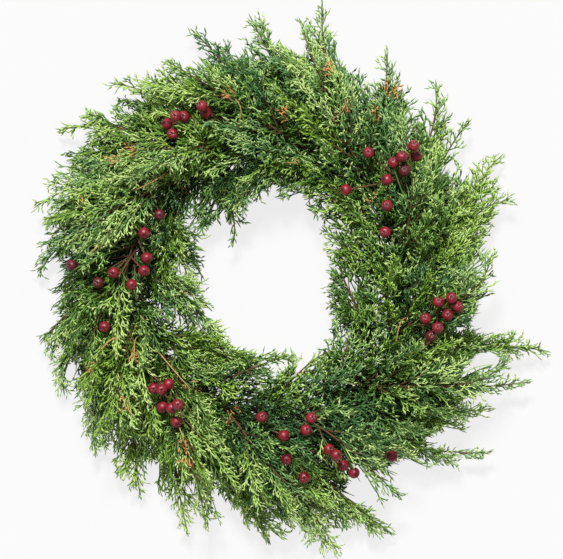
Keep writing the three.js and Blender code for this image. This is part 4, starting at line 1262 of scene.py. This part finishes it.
def binding_points():
    """Where the binding wire goes: round the raised rails and cut ends at every turn, and
    under each cross bar on its way to the next turn."""
    off = WIRE_RADIUS + WIRE_GAP
    bottom = MID_RAIL_BOTTOM - off
    butt_bottom = BUTT_HEIGHT - BUTT_RADIUS / 2
    top = BUTT_HEIGHT + BUTT_RADIUS + off
    rail_side = ROD_SIZE / 2 + off + WIRE_SLACK
    butt_side = BUTT_RADIUS * math.cos(math.pi / 6) + off + WIRE_SLACK
    loop = (
        (OUTER_SLOT + rail_side, bottom), (OUTER_SLOT + butt_side, butt_bottom),
        (OUTER_SLOT + WIRE_SHOULDER, top), (INNER_SLOT - WIRE_SHOULDER, top),
        (INNER_SLOT - butt_side, butt_bottom), (INNER_SLOT - rail_side, bottom),
    )
    dip = math.degrees(WIRE_DIP_HALF_LENGTH / SPRIG_SLOT)
    points = []
    for turn in range(TURN_COUNT):
        angle = turn * TURN_STEP
        for step, (radius, height) in enumerate(loop):
            drift = WIRE_DRIFT * (step / (len(loop) - 1) - 0.5)
            points.append(polar(angle, radius, height) + heading(angle + 90) * drift)
        bar_ahead = (angle + TURN_STEP / 2 - BAR_FIRST_ANGLE) % (360 / BAR_COUNT) == 0
        if bar_ahead and turn < TURN_COUNT - 1:
            for offset in (-dip, dip):
                radius = INNER_SLOT + (OUTER_SLOT - INNER_SLOT) * (0.5 + offset / TURN_STEP)
                points.append(polar(angle + TURN_STEP / 2 + offset, radius, WIRE_DIP_HEIGHT))
    return np.array(points)


def rounded(points, steps=6, tension=0.3):
    """A smooth curve through points: cubic pieces with slopes k (p[i+1] - p[i-1])."""
    slope = tension * np.gradient(points, axis=0) * 2
    t = (np.arange(steps) / steps)[None, :, None]
    a, b = points[:-1, None], points[1:, None]
    m, n = slope[:-1, None], slope[1:, None]
    curve = (2 * t**3 - 3 * t**2 + 1) * a + (t**3 - 2 * t**2 + t) * m
    curve = curve + (3 * t**2 - 2 * t**3) * b + (t**3 - t**2) * n
    return np.concatenate((curve.reshape(-1, 3), points[-1:]))


class WREATH_OT_binding_wire(bpy.types.Operator):
    """Winds the florist's wire round the frame and the cut ends"""

    bl_idname = "wreath.binding_wire"
    bl_label = "Binding wire"

    def execute(self, context):
        settings = context.scene.wreath_wires
        path = rounded(binding_points())
        along = unit(np.gradient(path, axis=0))
        middle = polar(np.degrees(np.arctan2(path[:, 1], path[:, 0])), SPRIG_SLOT, BUTT_HEIGHT)
        thick = settings.wire_diameter / MM / 2
        side, upper = square_to(along, path - middle)
        corners = path[:, None] + thick * around(side, upper, STEM_SIDES)
        corners = np.concatenate((corners.reshape(-1, 3), path[-1:], path[:1]))
        skin = Skin()
        skin.add(corners, ring_faces(len(path), STEM_SIDES, foot=True))
        finish = wire_finish("binding_lacquer", settings.wire_green)
        skin.write("round_binding_wire", finish, "binding_wire", "binding_wire")
        return {"FINISHED"}


# ---- Stage ----

# In degrees and, for the camera, millimetres and metres.
SUN_WIDTH = 11
SUN_TURN = (-36, -6, 0)
SENSOR_WIDTH = 36
CAMERA_CLIP = (0.1, 100)


class WREATH_OT_stage(bpy.types.Operator):
    """Lays the floor, hangs the lights and sets the camera over the wreath"""

    bl_idname = "wreath.stage"
    bl_label = "Floor, light and camera"

    def execute(self, context):
        settings, scene = context.scene.wreath_stage, context.scene
        half = settings.floor_size / 2
        mesh = bpy.data.meshes.new("floor")
        square = [(-half, -half, 0), (half, -half, 0), (half, half, 0), (-half, half, 0)]
        mesh.from_pydata(square, [], [(0, 1, 2, 3)])
        mesh.materials.append(floor_finish(settings))
        put("floor", mesh)

        key = bpy.data.lights.new("key_light", "SUN")
        key.energy = settings.key_power
        key.angle = math.radians(SUN_WIDTH)
        put("key_light", key).rotation_euler = np.radians(SUN_TURN)

        scene.world = bpy.data.worlds.new("even_sky")
        scene.world.use_nodes = True
        sky = scene.world.node_tree.nodes["Background"]
        sky.inputs["Color"].default_value = (*WHITE, 1)
        sky.inputs["Strength"].default_value = settings.sky_strength

        camera = bpy.data.cameras.new("overhead_camera")
        camera.sensor_width = SENSOR_WIDTH
        reach = settings.camera_height - SCALE_HEIGHT * MM
        camera.lens = SENSOR_WIDTH * reach / (PICTURE_WIDTH_PX * MM_PER_PX * MM)
        camera.clip_start, camera.clip_end = CAMERA_CLIP
        scene.camera = put("overhead_camera", camera)
        scene.camera.location = (
            RING_CENTRE[0] + (PICTURE_WIDTH_PX / 2 - RING_PX[0]) * MM_PER_PX * MM,
            RING_CENTRE[1] + (RING_PX[1] - PICTURE_HEIGHT_PX / 2) * MM_PER_PX * MM,
            settings.camera_height,
        )
        scene.view_settings.view_transform = "Standard"
        scene.view_settings.look = "None"
        return {"FINISHED"}


# ---- Panel and running ----

OPERATORS = (
    WREATH_OT_wire_frame, WREATH_OT_binding_wire, WREATH_OT_sprays, WREATH_OT_berry_sprigs,
    WREATH_OT_stage,
)
SETTINGS = {
    "wreath_foliage": FoliageSettings, "wreath_berries": BerrySettings,
    "wreath_wires": WireSettings, "wreath_stage": StageSettings,
}


class WREATH_PT_panel(bpy.types.Panel):
    """Lists the wreath's settings and pieces"""

    bl_label = "Wreath"
    bl_idname = "WREATH_PT_panel"
    bl_space_type = "VIEW_3D"
    bl_region_type = "UI"
    bl_category = "Wreath"

    def draw(self, context):
        for operator in OPERATORS:
            self.layout.operator(operator.bl_idname)
        for name, kind in SETTINGS.items():
            box = self.layout.box()
            box.label(text=kind.__doc__)
            for key in kind.__annotations__:
                box.prop(getattr(context.scene, name), key)


def register():
    """Registers the settings, pieces and panel."""
    for kind in (*SETTINGS.values(), *OPERATORS, WREATH_PT_panel):
        bpy.utils.register_class(kind)
    for name, kind in SETTINGS.items():
        setattr(bpy.types.Scene, name, PointerProperty(type=kind))


def unregister():
    """Takes them out again, last first."""
    for name in SETTINGS:
        delattr(bpy.types.Scene, name)
    for kind in reversed((*SETTINGS.values(), *OPERATORS, WREATH_PT_panel)):
        bpy.utils.unregister_class(kind)


def main():
    """Makes every piece in order."""
    register()
    bpy.ops.wreath.wire_frame()
    bpy.ops.wreath.binding_wire()
    bpy.ops.wreath.sprays()
    bpy.ops.wreath.berry_sprigs()
    bpy.ops.wreath.stage()
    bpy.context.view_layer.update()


if __name__ == "__main__":
    main()
